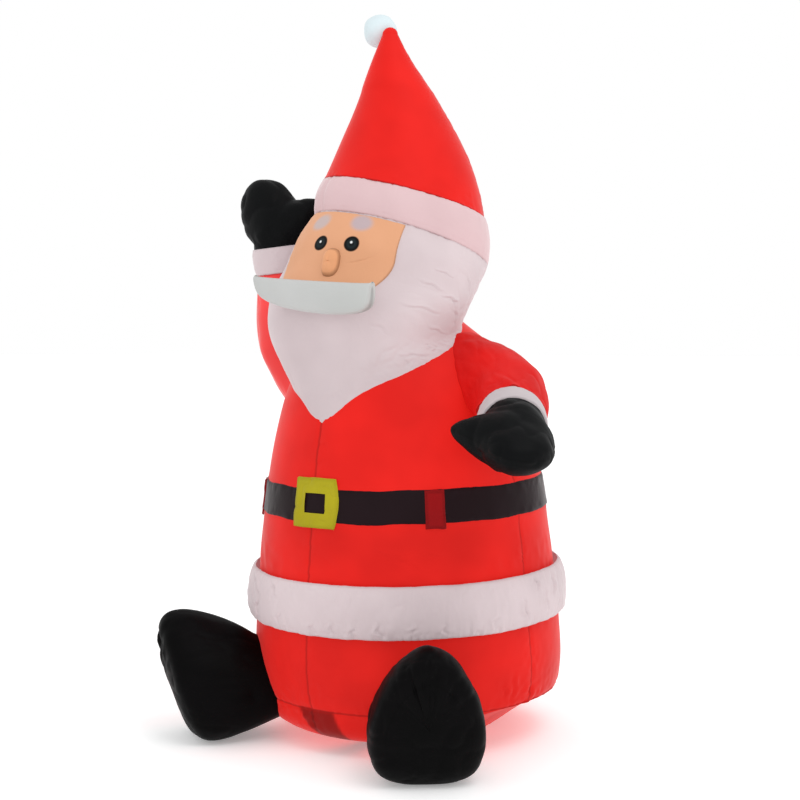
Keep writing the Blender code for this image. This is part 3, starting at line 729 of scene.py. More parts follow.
@dataclass
class Body:
    """The red envelope of seat, belly and chest, with the belt and the trim on it."""

    profile: tuple = (
        (0.0, 0.120),
        (0.030, 0.222),
        (0.078, 0.248),
        (0.150, 0.257),
        (0.385, 0.2370),
        (0.548, 0.205),
        (0.626, 0.168),
        (0.686, 0.102),
    )
    seat_radius: float = 0.120
    seat_seam: float = 0.078
    seat_seam_radius: float = 0.248
    front_seam: float = math.radians(-2.0)
    side_seam: float = math.radians(86.0)
    columns: int = 380
    patch_shape: tuple[int, int] = (61, 57)
    # Metres of cloth for each radian round the belly, the seat and the trim
    belly_girth: float = 0.24
    seat_girth: float = 0.25
    trim_girth: float = 0.26
    trim_height: float = 0.244
    trim_width: float = 0.082
    trim_puff: float = 0.015
    belt_height: float = 0.403
    belt_width: float = 0.056
    buckle_width: float = 0.087
    buckle_height: float = 0.078
    buckle_rise: float = 0.004
    hole_width: float = 0.040
    hole_height: float = 0.032
    loop_width: float = 0.032
    loop_height: float = 0.060
    loop_drop: float = 0.004
    loop_angle: float = math.radians(48.0)
    creases: tuple[Crease, ...] = creases_of(
        (0.105, 0.338, 0.190, 0.300, 1.4),
        (0.150, 0.322, 0.215, 0.330, 1.2),
        (0.300, 0.120, 0.306, 0.092, 2.2),
        (0.322, 0.130, 0.318, 0.086, 2.2),
        (-0.006, 0.500, 0.016, 0.492, 1.4),
        (-0.006, 0.470, 0.012, 0.474, 1.2),
    )

    # In metres round the trim and up
    trim_creases: tuple[Crease, ...] = creases_of(
        (-0.190, 0.268, -0.140, 0.232, 4.6),
        (-0.165, 0.280, -0.115, 0.252, 4.0),
        (-0.130, 0.212, -0.122, 0.246, 4.2),
        (-0.085, 0.278, -0.066, 0.256, 3.6),
        (-0.062, 0.208, -0.056, 0.234, 2.4),
        (0.010, 0.206, 0.016, 0.226, 2.4),
        (0.052, 0.206, 0.048, 0.230, 2.6),
        (0.082, 0.206, 0.086, 0.224, 2.4),
        (0.128, 0.206, 0.122, 0.232, 2.8),
        (0.172, 0.207, 0.180, 0.226, 2.4),
        (0.225, 0.207, 0.222, 0.228, 2.4),
        (0.300, 0.208, 0.310, 0.234, 2.4),
        (0.372, 0.214, 0.362, 0.252, 4.0),
        (0.428, 0.220, 0.420, 0.262, 4.0),
        (0.398, 0.280, 0.404, 0.256, 3.6),
        (0.455, 0.276, 0.448, 0.240, 3.6),
    )

    def radius(self, height: Array) -> Array:
        """Radius at a height, on a smooth curve through the profile.

        Args:
            height: metres, one or many.

        Returns:
            A radius for each height.
        """
        z, r = np.array(self.profile).T
        slopes = np.empty_like(r)
        slopes[1:-1] = (r[2:] - r[:-2]) / (z[2:] - z[:-2])
        slopes[0] = (r[1] - r[0]) / (z[1] - z[0])
        slopes[-1] = (r[-1] - r[-2]) / (z[-1] - z[-2])
        k = np.clip(np.searchsorted(z, height, side="right") - 1, 0, len(z) - 2)
        span = z[k + 1] - z[k]
        s = (height - z[k]) / span
        return hermite(r[k], slopes[k] * span, r[k + 1], slopes[k + 1] * span, s)

    def skin(self, off: Array, height: Array, offset: Array) -> Array:
        """Leaned points off the surface, with the underside raised towards the figure's left.

        Args:
            off: angle of each point.
            height: its height.
            offset: metres out from the surface.

        Returns:
            Points by x, y, z.
        """
        bare = self.radius(height)
        reach = self.seat_seam_radius - self.seat_radius
        share = (bare * np.sin(off) - self.seat_radius) / reach
        lift = np.clip(share, 0.0, 1.0) * np.maximum(self.seat_seam - height, 0.0)
        return lean(polar(off, bare + offset, height + lift))

    def relief(self, off: Array, height: Array) -> tuple[Array, Array]:
        """Folds of the envelope.

        Args:
            off: angle of each point.
            height: its height.

        Returns:
            How far each point stands off, and how far it is from a seam.
        """
        radius = self.radius(height)
        points = polar(off, radius, height)
        away_all = np.full_like(height, 1.0)
        total = 1.6 * MM * noise(points, 0.11, 3)
        seat_away = np.abs(height - self.seat_seam) * np.where(height < self.seat_seam, 1.4, 1.0)
        for number, seam in enumerate((self.front_seam, self.side_seam, -self.side_seam, math.pi)):
            turn = turn_from(off, seam)
            away = turn * radius
            total += Gathers(15.0, 12.0, 1.6, 10 + 3 * number).relief(height, away)
            total += groove(away, 1.2, 3.0)
            corner = np.exp(-np.hypot(away, seat_away) / 0.035)
            total += 3.5 * MM * corner * noise(points, 0.009, 40 + number)
            away_all = np.minimum(away_all, away)
        total += Gathers(26.0, 17.0, 2.4, 30).relief(off * self.seat_girth, seat_away)
        total += groove(seat_away, 2.2, 4.0)
        slack = smooth_step(0.16, 0.24, height) * smooth_step(0.37, 0.30, height)
        total += 1.0 * MM * slack * streaks(points, (0.9, 0.3, -0.5), 0.10, 0.014, 50)
        for crease in self.creases:
            total += crease.relief(off * self.belly_girth, height)
        away_all = np.minimum(away_all, seat_away)
        belt = smooth_step(0.0, 0.006, np.abs(height - self.belt_height) - self.belt_width / 2)
        floor = smooth_step(0.0, 0.03, height)
        return total * belt * floor, away_all

    def shade(self, off: Array, height: Array) -> Array:
        """How bright the cloth is: painted shade below the trim and under the belt, and the
        painted shadow of the blower inside.

        Args:
            off: angle of each point.
            height: its height.

        Returns:
            A factor for each point's colour.
        """
        # Painted shade below the trim and under the belt.
        dim = 1 - 0.03 * smooth_step(self.trim_height + 0.05, self.trim_height - 0.05, height)
        dim = dim - 0.10 * bell(height, self.belt_height - 0.05, 0.04) * bell(off, 0.5, 1.2)
        # The painted shadow of the blower inside, a slanted patch below the seat's seam.
        middle = math.radians(7.5) - math.radians(8.0) * height / self.seat_seam
        reach = math.radians(6.0) + math.radians(2.0) * height / self.seat_seam
        inside = smooth_step(1.12, 0.9, np.abs(off - middle) / reach)
        below = smooth_step(self.seat_seam + 0.004, self.seat_seam - 0.004, height)
        return dim * (1 - 0.62 * inside * below)

    def build_envelope(self) -> None:
        """The red body."""
        seat_rows = np.linspace(0, self.seat_seam, 34)
        heights = np.append(seat_rows, np.linspace(0.081, self.profile[-1][0], 172))
        off = round_angles(self.columns) - math.pi
        off, height = np.meshgrid(off, heights)
        relief, away = self.relief(off, height)
        grid = self.skin(off, height, relief)
        cloth = marks_of(off * self.belly_girth, run_lengths(grid, 0), away)
        piece = sew("body_envelope", grid, cloth, self.shade(off, height))
        place(piece, "body", RED)

    def build_belt(self) -> None:
        """The black band, pressed on by the body's own bulge."""
        rows, columns = 15, 420
        share = np.linspace(-0.5, 0.5, rows)
        off = round_angles(columns) - math.pi
        off, share = np.meshgrid(off, share)
        ring = np.stack([np.sin(off), np.cos(off)], axis=-1) * self.belly_girth
        edge = (0.5 - np.abs(share)) * self.belt_width
        free = np.abs(share) * 2
        sway = 1.4 * MM * noise(ring, 0.05, 60) * free
        height = self.belt_height + share * self.belt_width + sway
        lift = 1.8 * MM + 1.0 * MM * noise(np.dstack([ring, height]), 0.022, 61) * free
        lift += Gathers(16.0, 9.0, 1.2, 62).relief(off * self.belly_girth, edge)
        lift = np.maximum(lift, 0.7 * MM)
        rim = np.array([0.0] + [1.0] * (rows - 2) + [0.0])[:, None]
        grid = self.skin(off, height, tucked(lift, rim, 2.0))
        cloth = marks_of(off * self.belly_girth, height, np.abs(edge - 4 * MM) + 1.5 * MM)
        piece = sew("belt_band", grid, cloth, capped=False)
        place(piece, "belt", BELT_BLACK)
        around = TURN * float(self.radius(np.array(self.belt_height)))

    def build_trim(self) -> None:
        """The white trim, gathered along both its edges."""
        rows, columns = 56, 760
        angle = np.linspace(0.04, 0.96, rows) * math.pi
        off = round_angles(columns) - math.pi
        off, angle = np.meshgrid(off, angle)
        around = off * self.trim_girth
        across = -np.cos(angle)
        edge = (1 - np.abs(across)) * self.trim_width / 2
        ring = np.stack([np.sin(off), np.cos(off)], axis=-1) * self.trim_girth
        upper = across > 0
        scallop = np.where(upper, noise(ring, 0.030, 70), noise(ring, 0.022, 71)) * 0.7 * MM
        height = self.trim_height + across * self.trim_width / 2
        height = height + scallop * across**2 * np.sign(across)
        puff = self.trim_puff * np.sin(angle) ** 0.6 * (1 + 0.14 * noise(ring, 0.06, 72))
        folds = np.where(
            upper,
            Gathers(17.0, 20.0, 2.2, 73).relief(around, edge),
            Gathers(13.0, 18.0, 2.8, 76).relief(around, edge),
        )
        for crease in self.trim_creases:
            folds += crease.relief(around, height)
        points = np.dstack([ring, height])
        folds = folds + 0.9 * MM * crisp(streaks(points, (0.3, 0.0, 1.0), 0.05, 0.018, 79))
        lift = np.maximum(puff + 2.0 * MM + folds * np.sin(angle) ** 0.3, -1.0 * MM)
        rim = smooth_step(0.0, 0.12, np.sin(angle))
        grid = self.skin(off, height, tucked(lift, rim, 2.0))
        piece = sew("hem_trim_puff", grid, marks_of(around, height, edge), capped=False)
        place(piece, "hem_trim", WHITE)

    def patch_grid(self) -> tuple[Array, Array]:
        """Across and up over a patch, both from -1 to 1."""
        columns, rows = self.patch_shape
        return np.meshgrid(np.linspace(-1, 1, columns), np.linspace(-1, 1, rows))

    def patch(
        self,
        name: str,
        middle: tuple[float, float],
        size: tuple[float, float],
        pinch: float,
        seed: int,
    ) -> Thing:
        """A cloth patch over the belt, a little out of true, with turned edges.

        Args:
            name: the piece's name.
            middle: angle and height of its middle.
            size: metres across and up.
            pinch: share by which its left corners are drawn in.
            seed: which folds it gets.

        Returns:
            The new object.
        """
        width, height = size
        u, v = self.patch_grid()
        span = width / 2 / float(self.radius(np.array(self.belt_height)))
        flat = np.stack([u * width / 2, v * height / 2], axis=-1)
        bow = 1 + 0.03 * noise(flat, width / 3, seed)
        edge = np.minimum((1 - np.abs(u)) * width, (1 - np.abs(v)) * height) / 2
        folds = 2.0 * MM * crisp(noise(flat, 0.019, seed + 1))
        lift = 4.0 * MM + folds + groove(edge - 3 * MM, 0.4, 1.6)
        rim = smooth_step(0.0, 1.0 * MM, edge)
        angle = middle[0] + u * span * bow * (1 - pinch * v**2 * (u > 0))
        up = middle[1] + v * height / 2 * bow
        grid = self.skin(angle, up, tucked(lift, rim, -0.8))
        cloth = marks_of(flat[..., 0], flat[..., 1], np.abs(edge - 3 * MM))
        return sew(name, grid, cloth, wrap=False, capped=False)

    def build_buckle(self) -> None:
        """The yellow patch with a square hole."""
        width, height = self.buckle_width, self.buckle_height
        middle = (0.0, self.belt_height + self.buckle_rise)
        piece = self.patch("buckle_patch", middle, (width, height), 0.16, 80)
        u, v = self.patch_grid()
        u, v = (u[:-1, :-1] + u[1:, 1:]) / 2, (v[:-1, :-1] + v[1:, 1:]) / 2
        hole = (np.abs(u) < self.hole_width / width) & (np.abs(v) < self.hole_height / height)
        remove_faces(piece, hole.ravel())
        place(piece, "buckle", YELLOW)

    def build_loops(self) -> None:
        """The two dark red belt loops."""
        for side in Side:
            middle = (side.value * self.loop_angle, self.belt_height - self.loop_drop)
            flat = (self.loop_width, self.loop_height)
            piece = self.patch(f"loop_{side.word}_strip", middle, flat, 0.0, 90)
            place(piece, f"belt_loop_{side.word}", LOOP_RED)

    def build(self) -> None:
        """All the pieces of the body."""
        self.build_envelope()
        self.build_belt()
        self.build_trim()
        self.build_buckle()
        self.build_loops()


def remove_faces(piece: Thing, chosen: Array) -> None:
    """Delete the faces whose place in the mesh is marked, and the points that they leave.

    Args:
        piece: the piece.
        chosen: true for each face that goes.
    """
    shape = bmesh.new()
    shape.from_mesh(piece.data)
    shape.faces.ensure_lookup_table()
    gone = [shape.faces[i] for i in np.flatnonzero(chosen)]
    bmesh.ops.delete(shape, geom=gone, context="FACES")
    shape.to_mesh(piece.data)
    shape.free()


# The head section in which the hat's band starts, as Head.sections has them
BAND_FOOT = (0.000, 0.003, 0.145, 0.142, 0.822, -0.14, -0.33)


@dataclass
class Head:
    """The white envelope of hair and beard, with the face and what is on it."""

    body: Body
    beard_drop: float = 0.130
    tip_drop: float = 0.044
    tip_angle: float = math.radians(14.0)
    beard_roll: float = 0.010
    beard_root: float = 0.008
    # Middle x and y, half width, half depth, height, slope along x and slope along y
    sections: tuple = (
        (-0.029, -0.060, 0.165, 0.150, 0.685, -0.03, 0.17),
        (-0.025, -0.054, 0.175, 0.153, 0.722, -0.06, 0.02),
        (-0.017, -0.032, 0.169, 0.146, 0.758, -0.10, -0.10),
        (-0.0065, -0.0165, 0.1575, 0.1495, 0.792, -0.13, -0.20),
        BAND_FOOT,
    )
    top_v: float = 5.0
    # Metres of cloth for each radian round the head, for its folds and for its weave
    fold_girth: float = 0.19
    weave_girth: float = 0.17
    face_half_angle: float = math.radians(40.0)
    face_taper: float = 0.42
    face_low: float = 2.0
    face_high: float = 4.96
    nose_off: float = math.radians(3.6)
    nose_v: float = 3.17
    nose_width: float = 0.033
    nose_height: float = 0.048
    nose_length: float = 0.017
    nose_slant: float = 0.14
    nose_girth: float = 0.02
    moustache_centre: tuple = (-0.008, -0.222, 0.749)
    moustache_half_width: float = 0.120
    moustache_rise: float = 0.012
    moustache_slant: float = 0.35
    moustache_drop: float = 0.038
    moustache_skew: float = 0.12
    moustache_bluntness: float = 0.15
    moustache_thickness: float = 0.038
    moustache_roll: float = math.radians(4.0)

    # In metres round the head and, at 50 mm for each step of v, up it
    creases: tuple[Crease, ...] = creases_of(
        (0.184, 0.146, 0.244, 0.130, 2.6, 1.7),
        (0.165, 0.105, 0.260, 0.087, 2.2, 1.6),
        (0.240, 0.122, 0.300, 0.108, 2.2, 1.8),
        (0.276, 0.118, 0.300, 0.094, 3.0, 2.0),
        (0.300, 0.096, 0.328, 0.062, 3.0, 2.0),
        (0.160, 0.033, 0.203, 0.020, 2.6, 1.8),
        (0.165, 0.030, 0.152, 0.014, 2.4, 1.8),
        (0.228, 0.036, 0.212, 0.024, 2.2, 1.6),
        (0.300, 0.180, 0.330, 0.128, 2.4, 1.8),
        (0.020, 0.020, 0.042, 0.011, 2.0, 1.6),
        (0.240, 0.070, 0.292, 0.045, 2.0, 1.8),
        (0.210, 0.172, 0.262, 0.160, 1.8, 1.6),
        (0.120, 0.080, 0.165, 0.062, 1.6, 1.8),
    )

    def beard_seam(self, off: Array) -> Array:
        """Points just inside the body where the white envelope starts.

        Args:
            off: angle of each point.

        Returns:
            Points by x, y, z, before the lean.
        """
        turn = off + FRONT
        swing = np.arctan2(np.sin(off), np.cos(off))
        drop = self.beard_drop * ((1 + np.cos(swing)) / 2) ** 2
        tip = self.tip_drop * np.exp(-((swing / self.tip_angle) ** 2))
        height = self.body.profile[-1][0] - drop - tip
        height = height + self.beard_roll * np.cos(turn) * (drop / self.beard_drop)
        radius = self.body.radius(height) - self.beard_root
        return np.stack([radius * np.cos(turn), radius * np.sin(turn), height], axis=-1)

    def point(self, off: Array, v: Array) -> Array:
        """Points of the upright surface: v is 0 at the beard's seam and 5 at the hat band.

        Args:
            off: angle of each point.
            v: how far up each point is.

        Returns:
            Points by x, y, z.
        """
        stations = [self.beard_seam(off)]
        for section in self.sections:
            stations.append(section_points(section, off))
        return through(np.stack(stations), v)

    def normal(self, off: Array, v: Array) -> Array:
        """Outward directions of the upright surface.

        Args:
            off: angle of each point.
            v: how far up the head each point is, 0 at the beard's seam and 5 at the hat band.

        Returns:
            A vector of length one for each point.
        """
        small = 0.01
        low, high = np.maximum(v - small, 0.0), np.minimum(v + small, self.top_v)
        along = self.point(off + small, v) - self.point(off - small, v)
        return unit(np.cross(along, self.point(off, high) - self.point(off, low)))

    def skin(self, off: Array, v: Array, offset: Array | float) -> Array:
        """Leaned points off the surface, in the shape of off.

        Args:
            off: angle of each point.
            v: how far up the head each point is, 0 at the beard's seam and 5 at the hat band.
            offset: metres out from the surface.

        Returns:
            Points by x, y, z.
        """
        flat_off, flat_v = off.ravel(), v.ravel()
        lift = np.broadcast_to(offset, off.shape).ravel()[:, None]
        points = self.point(flat_off, flat_v) + self.normal(flat_off, flat_v) * lift
        return lean(points).reshape(*off.shape, 3)

    def relief(self, off: Array, v: Array, base: Array) -> tuple[Array, Array]:
        """Folds of the hair and beard, and the distance to a seam.

        Args:
            off: angle of each point.
            v: how far up the head each point is, 0 at the beard's seam and 5 at the hat band.
            base: the leaned points without folds.

        Returns:
            How far each point stands off, and how far it is from a seam.
        """
        up = run_lengths(base, 0)
        down = up[-1:] - up
        along = off * self.fold_girth
        total = 1.8 * MM * noise(base, 0.055, 100)
        total += Gathers(17.0, 16.0, 3.2, 101).relief(along, np.maximum(up - 0.012, 0))
        total += Gathers(22.0, 18.0, 1.2, 104).relief(along, down)
        side = smooth_step(math.radians(32), math.radians(60), off) * smooth_step(2.8, 2.0, off)
        level = bell(v, 2.6, 1.5)
        pull = streaks(base, (0.55, 0.6, -0.35), 0.075, 0.020, 107)
        total += 1.3 * MM * side * level * crisp(pull)
        low = bell(off, math.radians(50), 0.5) * bell(v, 0.7, 0.55)
        total += 1.4 * MM * low * crisp(streaks(base, (0.75, 0.2, 0.45), 0.05, 0.014, 110))
        tip = bell(off, 0.05, 0.16) * bell(v, 0.25, 0.25)
        total += 1.6 * MM * tip * crisp(streaks(base, (0.9, 0.0, 0.3), 0.035, 0.010, 113))
        for crease in self.creases:
            total += 0.62 * crease.relief(along, v * 0.05)
        return total * smooth_step(0.012, 0.040, up), np.minimum(up - 0.008, down)

    def build_envelope(self) -> None:
        """Hair and beard in one."""
        columns, rows = 430, 200
        off = round_angles(columns) - math.pi
        off, v = np.meshgrid(off, np.linspace(0, self.top_v, rows))
        base = self.skin(off, v, 0.0)
        relief, away = self.relief(off, v, base)
        grid = self.skin(off, v, relief)
        cloth = marks_of(off * self.weave_girth, run_lengths(grid, 0), away)
        # Painted shade: darker at the beard's tip and towards the figure's right side.
        shade = 1 - 0.09 * bell(v, 0.2, 0.7) * bell(off, 0.1, 0.7)
        shade = shade - 0.05 * smooth_step(0.2, -0.9, off)
        piece = sew("head_envelope", grid, cloth, shade)
        place(piece, "head", WHITE)

    def face_at(self, across: Array, up: Array) -> tuple[Array, Array]:
        """The head's own angle and v of a point of the face panel.

        Args:
            across: from -1 to 1.
            up: from 0 to 1.

        Returns:
            Angles and values of v.
        """
        taper = self.face_taper * np.maximum(1 - 2 * up, 0.0) ** 2
        off = self.face_half_angle * (1 - taper) * across
        return off, self.face_low + (self.face_high - self.face_low) * up

    def face_grid(self, columns: int, rows: int) -> tuple[Array, Array, Array, Array]:
        """Across, up and, in metres on the cloth, across and up for a grid on the panel.

        Args:
            columns: points across.
            rows: points up.

        Returns:
            The four, each rows by columns.
        """
        across, up = np.meshgrid(np.linspace(-1, 1, columns), np.linspace(0, 1, rows))
        base = self.skin(*self.face_at(across, up), 0.0)
        runs = run_lengths(base, 1)
        metres_across = runs - runs[:, columns // 2][:, None]
        return across, up, metres_across, run_lengths(base, 0)

    def build_face(self) -> None:
        """The peach panel, with a few small folds."""
        across, up, x, y = self.face_grid(181, 141)
        edge = np.minimum((1 - np.abs(across)) * 0.1, np.minimum(up, 1 - up) * 0.15)
        lift = 2.6 * MM + 0.4 * MM * noise(np.stack([x, y], axis=-1), 0.03, 120)
        lift += Gathers(14.0, 9.0, 0.7, 121).relief(x + y, edge)
        smile = y - (0.084 + (x - 0.055) * 0.5 + (x - 0.055) ** 2 * 6)
        lift += groove(smile, 1.3, 1.5) * bell(x, 0.058, 0.018)
        rim = smooth_step(0.0, 2.4 * MM, edge)
        grid = self.skin(*self.face_at(across, up), tucked(lift, rim, 1.5))
        piece = sew("face_panel", grid, marks_of(x, y, edge), wrap=False, capped=False)
        place(piece, "face", FACE)

    def build_nose(self) -> None:
        """A short stuffed bulb with a seam round its foot."""
        sides, steps = 72, 40
        rows = np.linspace(0, 1, steps)
        spread = np.cos(math.pi / 2 * rows) ** 0.7
        height = (1 - spread**3) ** 0.6
        around, _ = np.meshgrid(round_angles(sides), rows)
        here = np.array([self.nose_off]), np.array([self.nose_v])
        small = 0.05
        middle = self.skin(*here, 0.0)
        wide = np.linalg.norm(self.skin(here[0] + small, here[1], 0.0) - middle) / small
        tall = np.linalg.norm(self.skin(here[0], here[1] + small, 0.0) - middle) / small
        boxed = (np.abs(np.cos(around)) ** 2.8 + np.abs(np.sin(around)) ** 2.8) ** (-1 / 2.8)
        side = np.cos(around) - self.nose_slant * np.sin(around)
        across = spread[:, None] * self.nose_width / 2 * side * boxed / wide
        up = spread[:, None] * self.nose_height / 2 * np.sin(around) * boxed / tall
        foot = 1.0 * MM
        swell = 1 + 0.04 * np.sin(3 * around)
        lift = foot + (self.nose_length - 5 * MM) * height[:, None] * swell
        out = height[:, None] * self.nose_length + 0 * around
        lift = lift + Gathers(9.0, 6.0, 0.9, 130).relief(around * self.nose_girth, out)
        grid = self.skin(self.nose_off + across, self.nose_v + up, lift)
        away = np.abs(spread[:, None] - 0.985) * self.nose_width / 2 + 0 * around
        piece = sew("nose_bulb", grid, marks_of(around * self.nose_girth, away, away))
        place(piece, "nose", NOSE)

    def build_moustache(self) -> None:
        """A stuffed crescent with a straight upper edge, its ends free of the cheeks."""
        columns, sides = 150, 64
        share = np.sin(math.pi / 2 * np.linspace(-0.997, 0.997, columns))
        fullness = np.cos(math.pi / 2 * share) ** self.moustache_bluntness
        top = self.moustache_rise * (1 - 0.4 * fullness)
        depth = (self.moustache_rise + self.moustache_drop) * (1 + self.moustache_skew * share)
        bottom = top - depth * fullness
        around, share = np.meshgrid(round_angles(sides), share)
        full, top, bottom = fullness[:, None], top[:, None], bottom[:, None]
        x = self.moustache_half_width * share
        boxed = np.sign(np.cos(around)) * np.abs(np.cos(around)) ** 0.45
        y = self.moustache_thickness / 2 * full * boxed
        z = (top + bottom) / 2 + (top - bottom) / 2 * np.sin(around)
        points = np.stack([x, y, z], axis=-1)
        swell = 1 + 0.06 * noise(points, 0.03, 140)
        seam = np.abs(np.cos(around)) * self.moustache_thickness / 2 * full
        folds = Gathers(15.0, 8.0, 1.0, 141).relief(x, seam)
        y = y * swell + np.sign(np.cos(around)) * folds
        roll = self.moustache_roll
        x = x + self.moustache_slant * np.maximum(-share, 0.0) ** 2 * (top - z)
        turned_x = x * math.cos(roll) + z * math.sin(roll)
        turned_z = -x * math.sin(roll) + z * math.cos(roll)
        grid = np.stack([turned_x, y, turned_z], axis=-1) + np.array(self.moustache_centre)
        piece = sew("moustache_pad", lean(grid), marks_of(x, z, seam + MM))
        piece.data.flip_normals()
        place(piece, "moustache", PADDING)

    def build(self) -> None:
        """All the pieces of the head."""
        self.build_envelope()
        self.build_face()
        self.build_nose()
        self.build_moustache()


def section_points(section: tuple, off: Array) -> Array:
    """Points of a head section, before the lean.

    Args:
        section: a row of values as Head.sections has them.
        off: angle of each point.

    Returns:
        Points by x, y, z.
    """
    x, y, half_width, half_depth, height, slope_x, slope_y = section
    px = x + half_width * np.cos(off + FRONT)
    py = y + half_depth * np.sin(off + FRONT)
    return np.stack([px, py, height + slope_x * px + slope_y * py], axis=-1)


@dataclass
class Hat:
    """The white band, the red cone and the ball at its tip."""

    band: tuple = (
        BAND_FOOT,
        (0.000, 0.010, 0.145, 0.143, 0.860, -0.15, -0.285),
        (0.000, 0.016, 0.136, 0.134, 0.895, -0.16, -0.24),
    )
    top: float = 1.180
    # Share of the way up, middle y and radius
    stations: tuple = (
        (0.145, 0.020, 0.1240),
        (0.325, 0.017, 0.1035),
        (0.582, 0.004, 0.0670),
        (0.666, -0.003, 0.0545),
        (0.823, -0.013, 0.0305),
        (0.955, -0.015, 0.0130),
    )
    cap_rings: int = 9
    # Metres of cloth for each radian round the band and, for folds and weave, the cone
    band_girth: float = 0.145
    cone_girth: float = 0.136
    cone_weave_girth: float = 0.1
    dart: float = math.radians(-26.0)
    pompom_radius: float = 0.028
    pompom_centre: tuple = (-0.033, 0.000, 1.180)

    def ring_grid(self, sections: Array, off: Array) -> Array:
        """Leaned rings, one for each row of section values."""
        rows = [section_points(tuple(section), off) for section in sections]
        return lean(np.stack(rows))

    def build_band(self) -> None:
        """The band, puffed and gathered between its two seams."""
        columns, rows = 320, 52
        sections = curve(self.band, np.linspace(0, 2, rows))
        off = round_angles(columns) - math.pi
        base = self.ring_grid(sections, off)
        off = np.broadcast_to(off, base.shape[:2])
        up = run_lengths(base, 0)
        edge = np.minimum(up, up[-1:] - up)
        along = off * self.band_girth
        lift = 2.5 * MM * np.sqrt(np.clip(edge / 0.01, 0, 1)) + 1.0 * MM * noise(base, 0.045, 200)
        lift += Gathers(19.0, 15.0, 1.0, 201).relief(along, up)
        lift += Gathers(19.0, 13.0, 1.2, 204).relief(along, up[-1:] - up)
        away = np.abs(off - self.dart) * self.band_girth
        lift += groove(away, 1.8, 6.0)
        grid = raised(base, lift)
        cloth = marks_of(along, up, np.minimum(edge, away + MM))
        piece = sew("hat_band_puff", grid, cloth)
        place(piece, "hat_band", BAND_WHITE)

    def build_cone(self) -> None:
        """The cone, from the band's upper seam to a small rounded tip."""
        columns, rows = 260, 170
        x, _, _, _, height, slope_x, slope_y = self.band[-1]
        stations = [self.band[-1]]
        for share, middle, radius in self.stations:
            flatter = (1 - share) ** 2
            rise = height + (self.top - height) * share
            slopes = slope_x * flatter, slope_y * flatter
            stations.append((x, middle, radius, radius, rise, *slopes))
        t = np.linspace(0, len(self.stations), rows)
        sections = curve(tuple(stations), t)
        last = sections[-1].copy()
        for k in range(1, self.cap_rings):
            angle = math.pi / 2 * k / self.cap_rings
            cap = last.copy()
            cap[2:4] = last[2] * math.cos(angle)
            cap[4] = last[4] + (self.top - last[4]) * math.sin(angle)
            sections = np.vstack([sections, cap])
        off = round_angles(columns) - math.pi
        base = self.ring_grid(sections, off)
        off = np.broadcast_to(off, base.shape[:2])
        up = run_lengths(base, 0)
        width = sections[:, 2][:, None]
        total = 0.9 * MM * noise(base, 0.07, 210)
        total += Gathers(20.0, 14.0, 1.3, 211).relief(off * self.cone_girth, up)
        away_all = up
        for number, seam in enumerate((math.radians(116.0), math.radians(-116.0))):
            turn = turn_from(off, seam)
            away = turn * width
            total += Gathers(14.0, 10.0, 1.2, 214 + 3 * number).relief(up, away)
            total += groove(away, 0.6, 3.0)
            away_all = np.minimum(away_all, away)
        total = total * np.clip(width / 0.03, 0, 1)
        grid = raised(base, total)
        piece = sew("hat_cone", grid, marks_of(off * self.cone_weave_girth, up, away_all))
        place(piece, "hat", RED)

    def build_pompom(self) -> None:
        """A stuffed ball of eight gores, a little out of round."""
        sides, rows = 96, 64
        tilt = np.linspace(0.03, math.pi - 0.03, rows)
        around, tilt = np.meshgrid(round_angles(sides), tilt)
        wide = np.sin(tilt)
        shape = np.stack([wide * np.cos(around), wide * np.sin(around), -np.cos(tilt)], axis=-1)
        gore = np.abs((around * 4 / math.pi + 0.5) % 1 - 0.5) * math.pi / 4 * wide
        gore = gore * self.pompom_radius
        bulge = self.pompom_radius * (1 + 0.05 * noise(shape, 0.8, 220)) + groove(gore, 0.2, 2.0)
        grid = shape * bulge[..., None] + np.array(self.pompom_centre)
        cloth = marks_of(around * self.pompom_radius, tilt * self.pompom_radius, gore + 0.01)
        piece = sew("pompom_ball", lean(grid), cloth)
        place(piece, "pompom", PLUSH)

    def build(self) -> None:
        """All the pieces of the hat."""
        self.build_band()
        self.build_cone()
        self.build_pompom()


def across_of(direction: Array, side: Array) -> tuple[Array, Array]:
    """Two unit vectors across a direction, the first as near side as it can be.

    Args:
        direction: the direction.
        side: where the first should point.

    Returns:
        The two vectors.
    """
    direction = unit(direction)
    across = unit(side - direction * (direction @ side))
    return across, np.cross(direction, across)


def oval_rings(
    middles: list, acrosses: list, thicks: list, wide: list, deep: list, sides: int
) -> Array:
    """Rings of points, each an oval in the plane of two unit vectors, before the lean.

    Args:
        middles: each ring's middle.
        acrosses: its first unit vector.
        thicks: its second.
        wide: its half size along the first.
        deep: its half size along the second.
        sides: points in a ring.

    Returns:
        Rings by points by x, y, z.
    """
    around = round_angles(sides)
    rings = []
    for middle, across, thick, a, b in zip(middles, acrosses, thicks, wide, deep):
        ring = middle + np.outer(np.cos(around) * a, across) + np.outer(np.sin(around) * b, thick)
        rings.append(ring)
    return np.stack(rings)


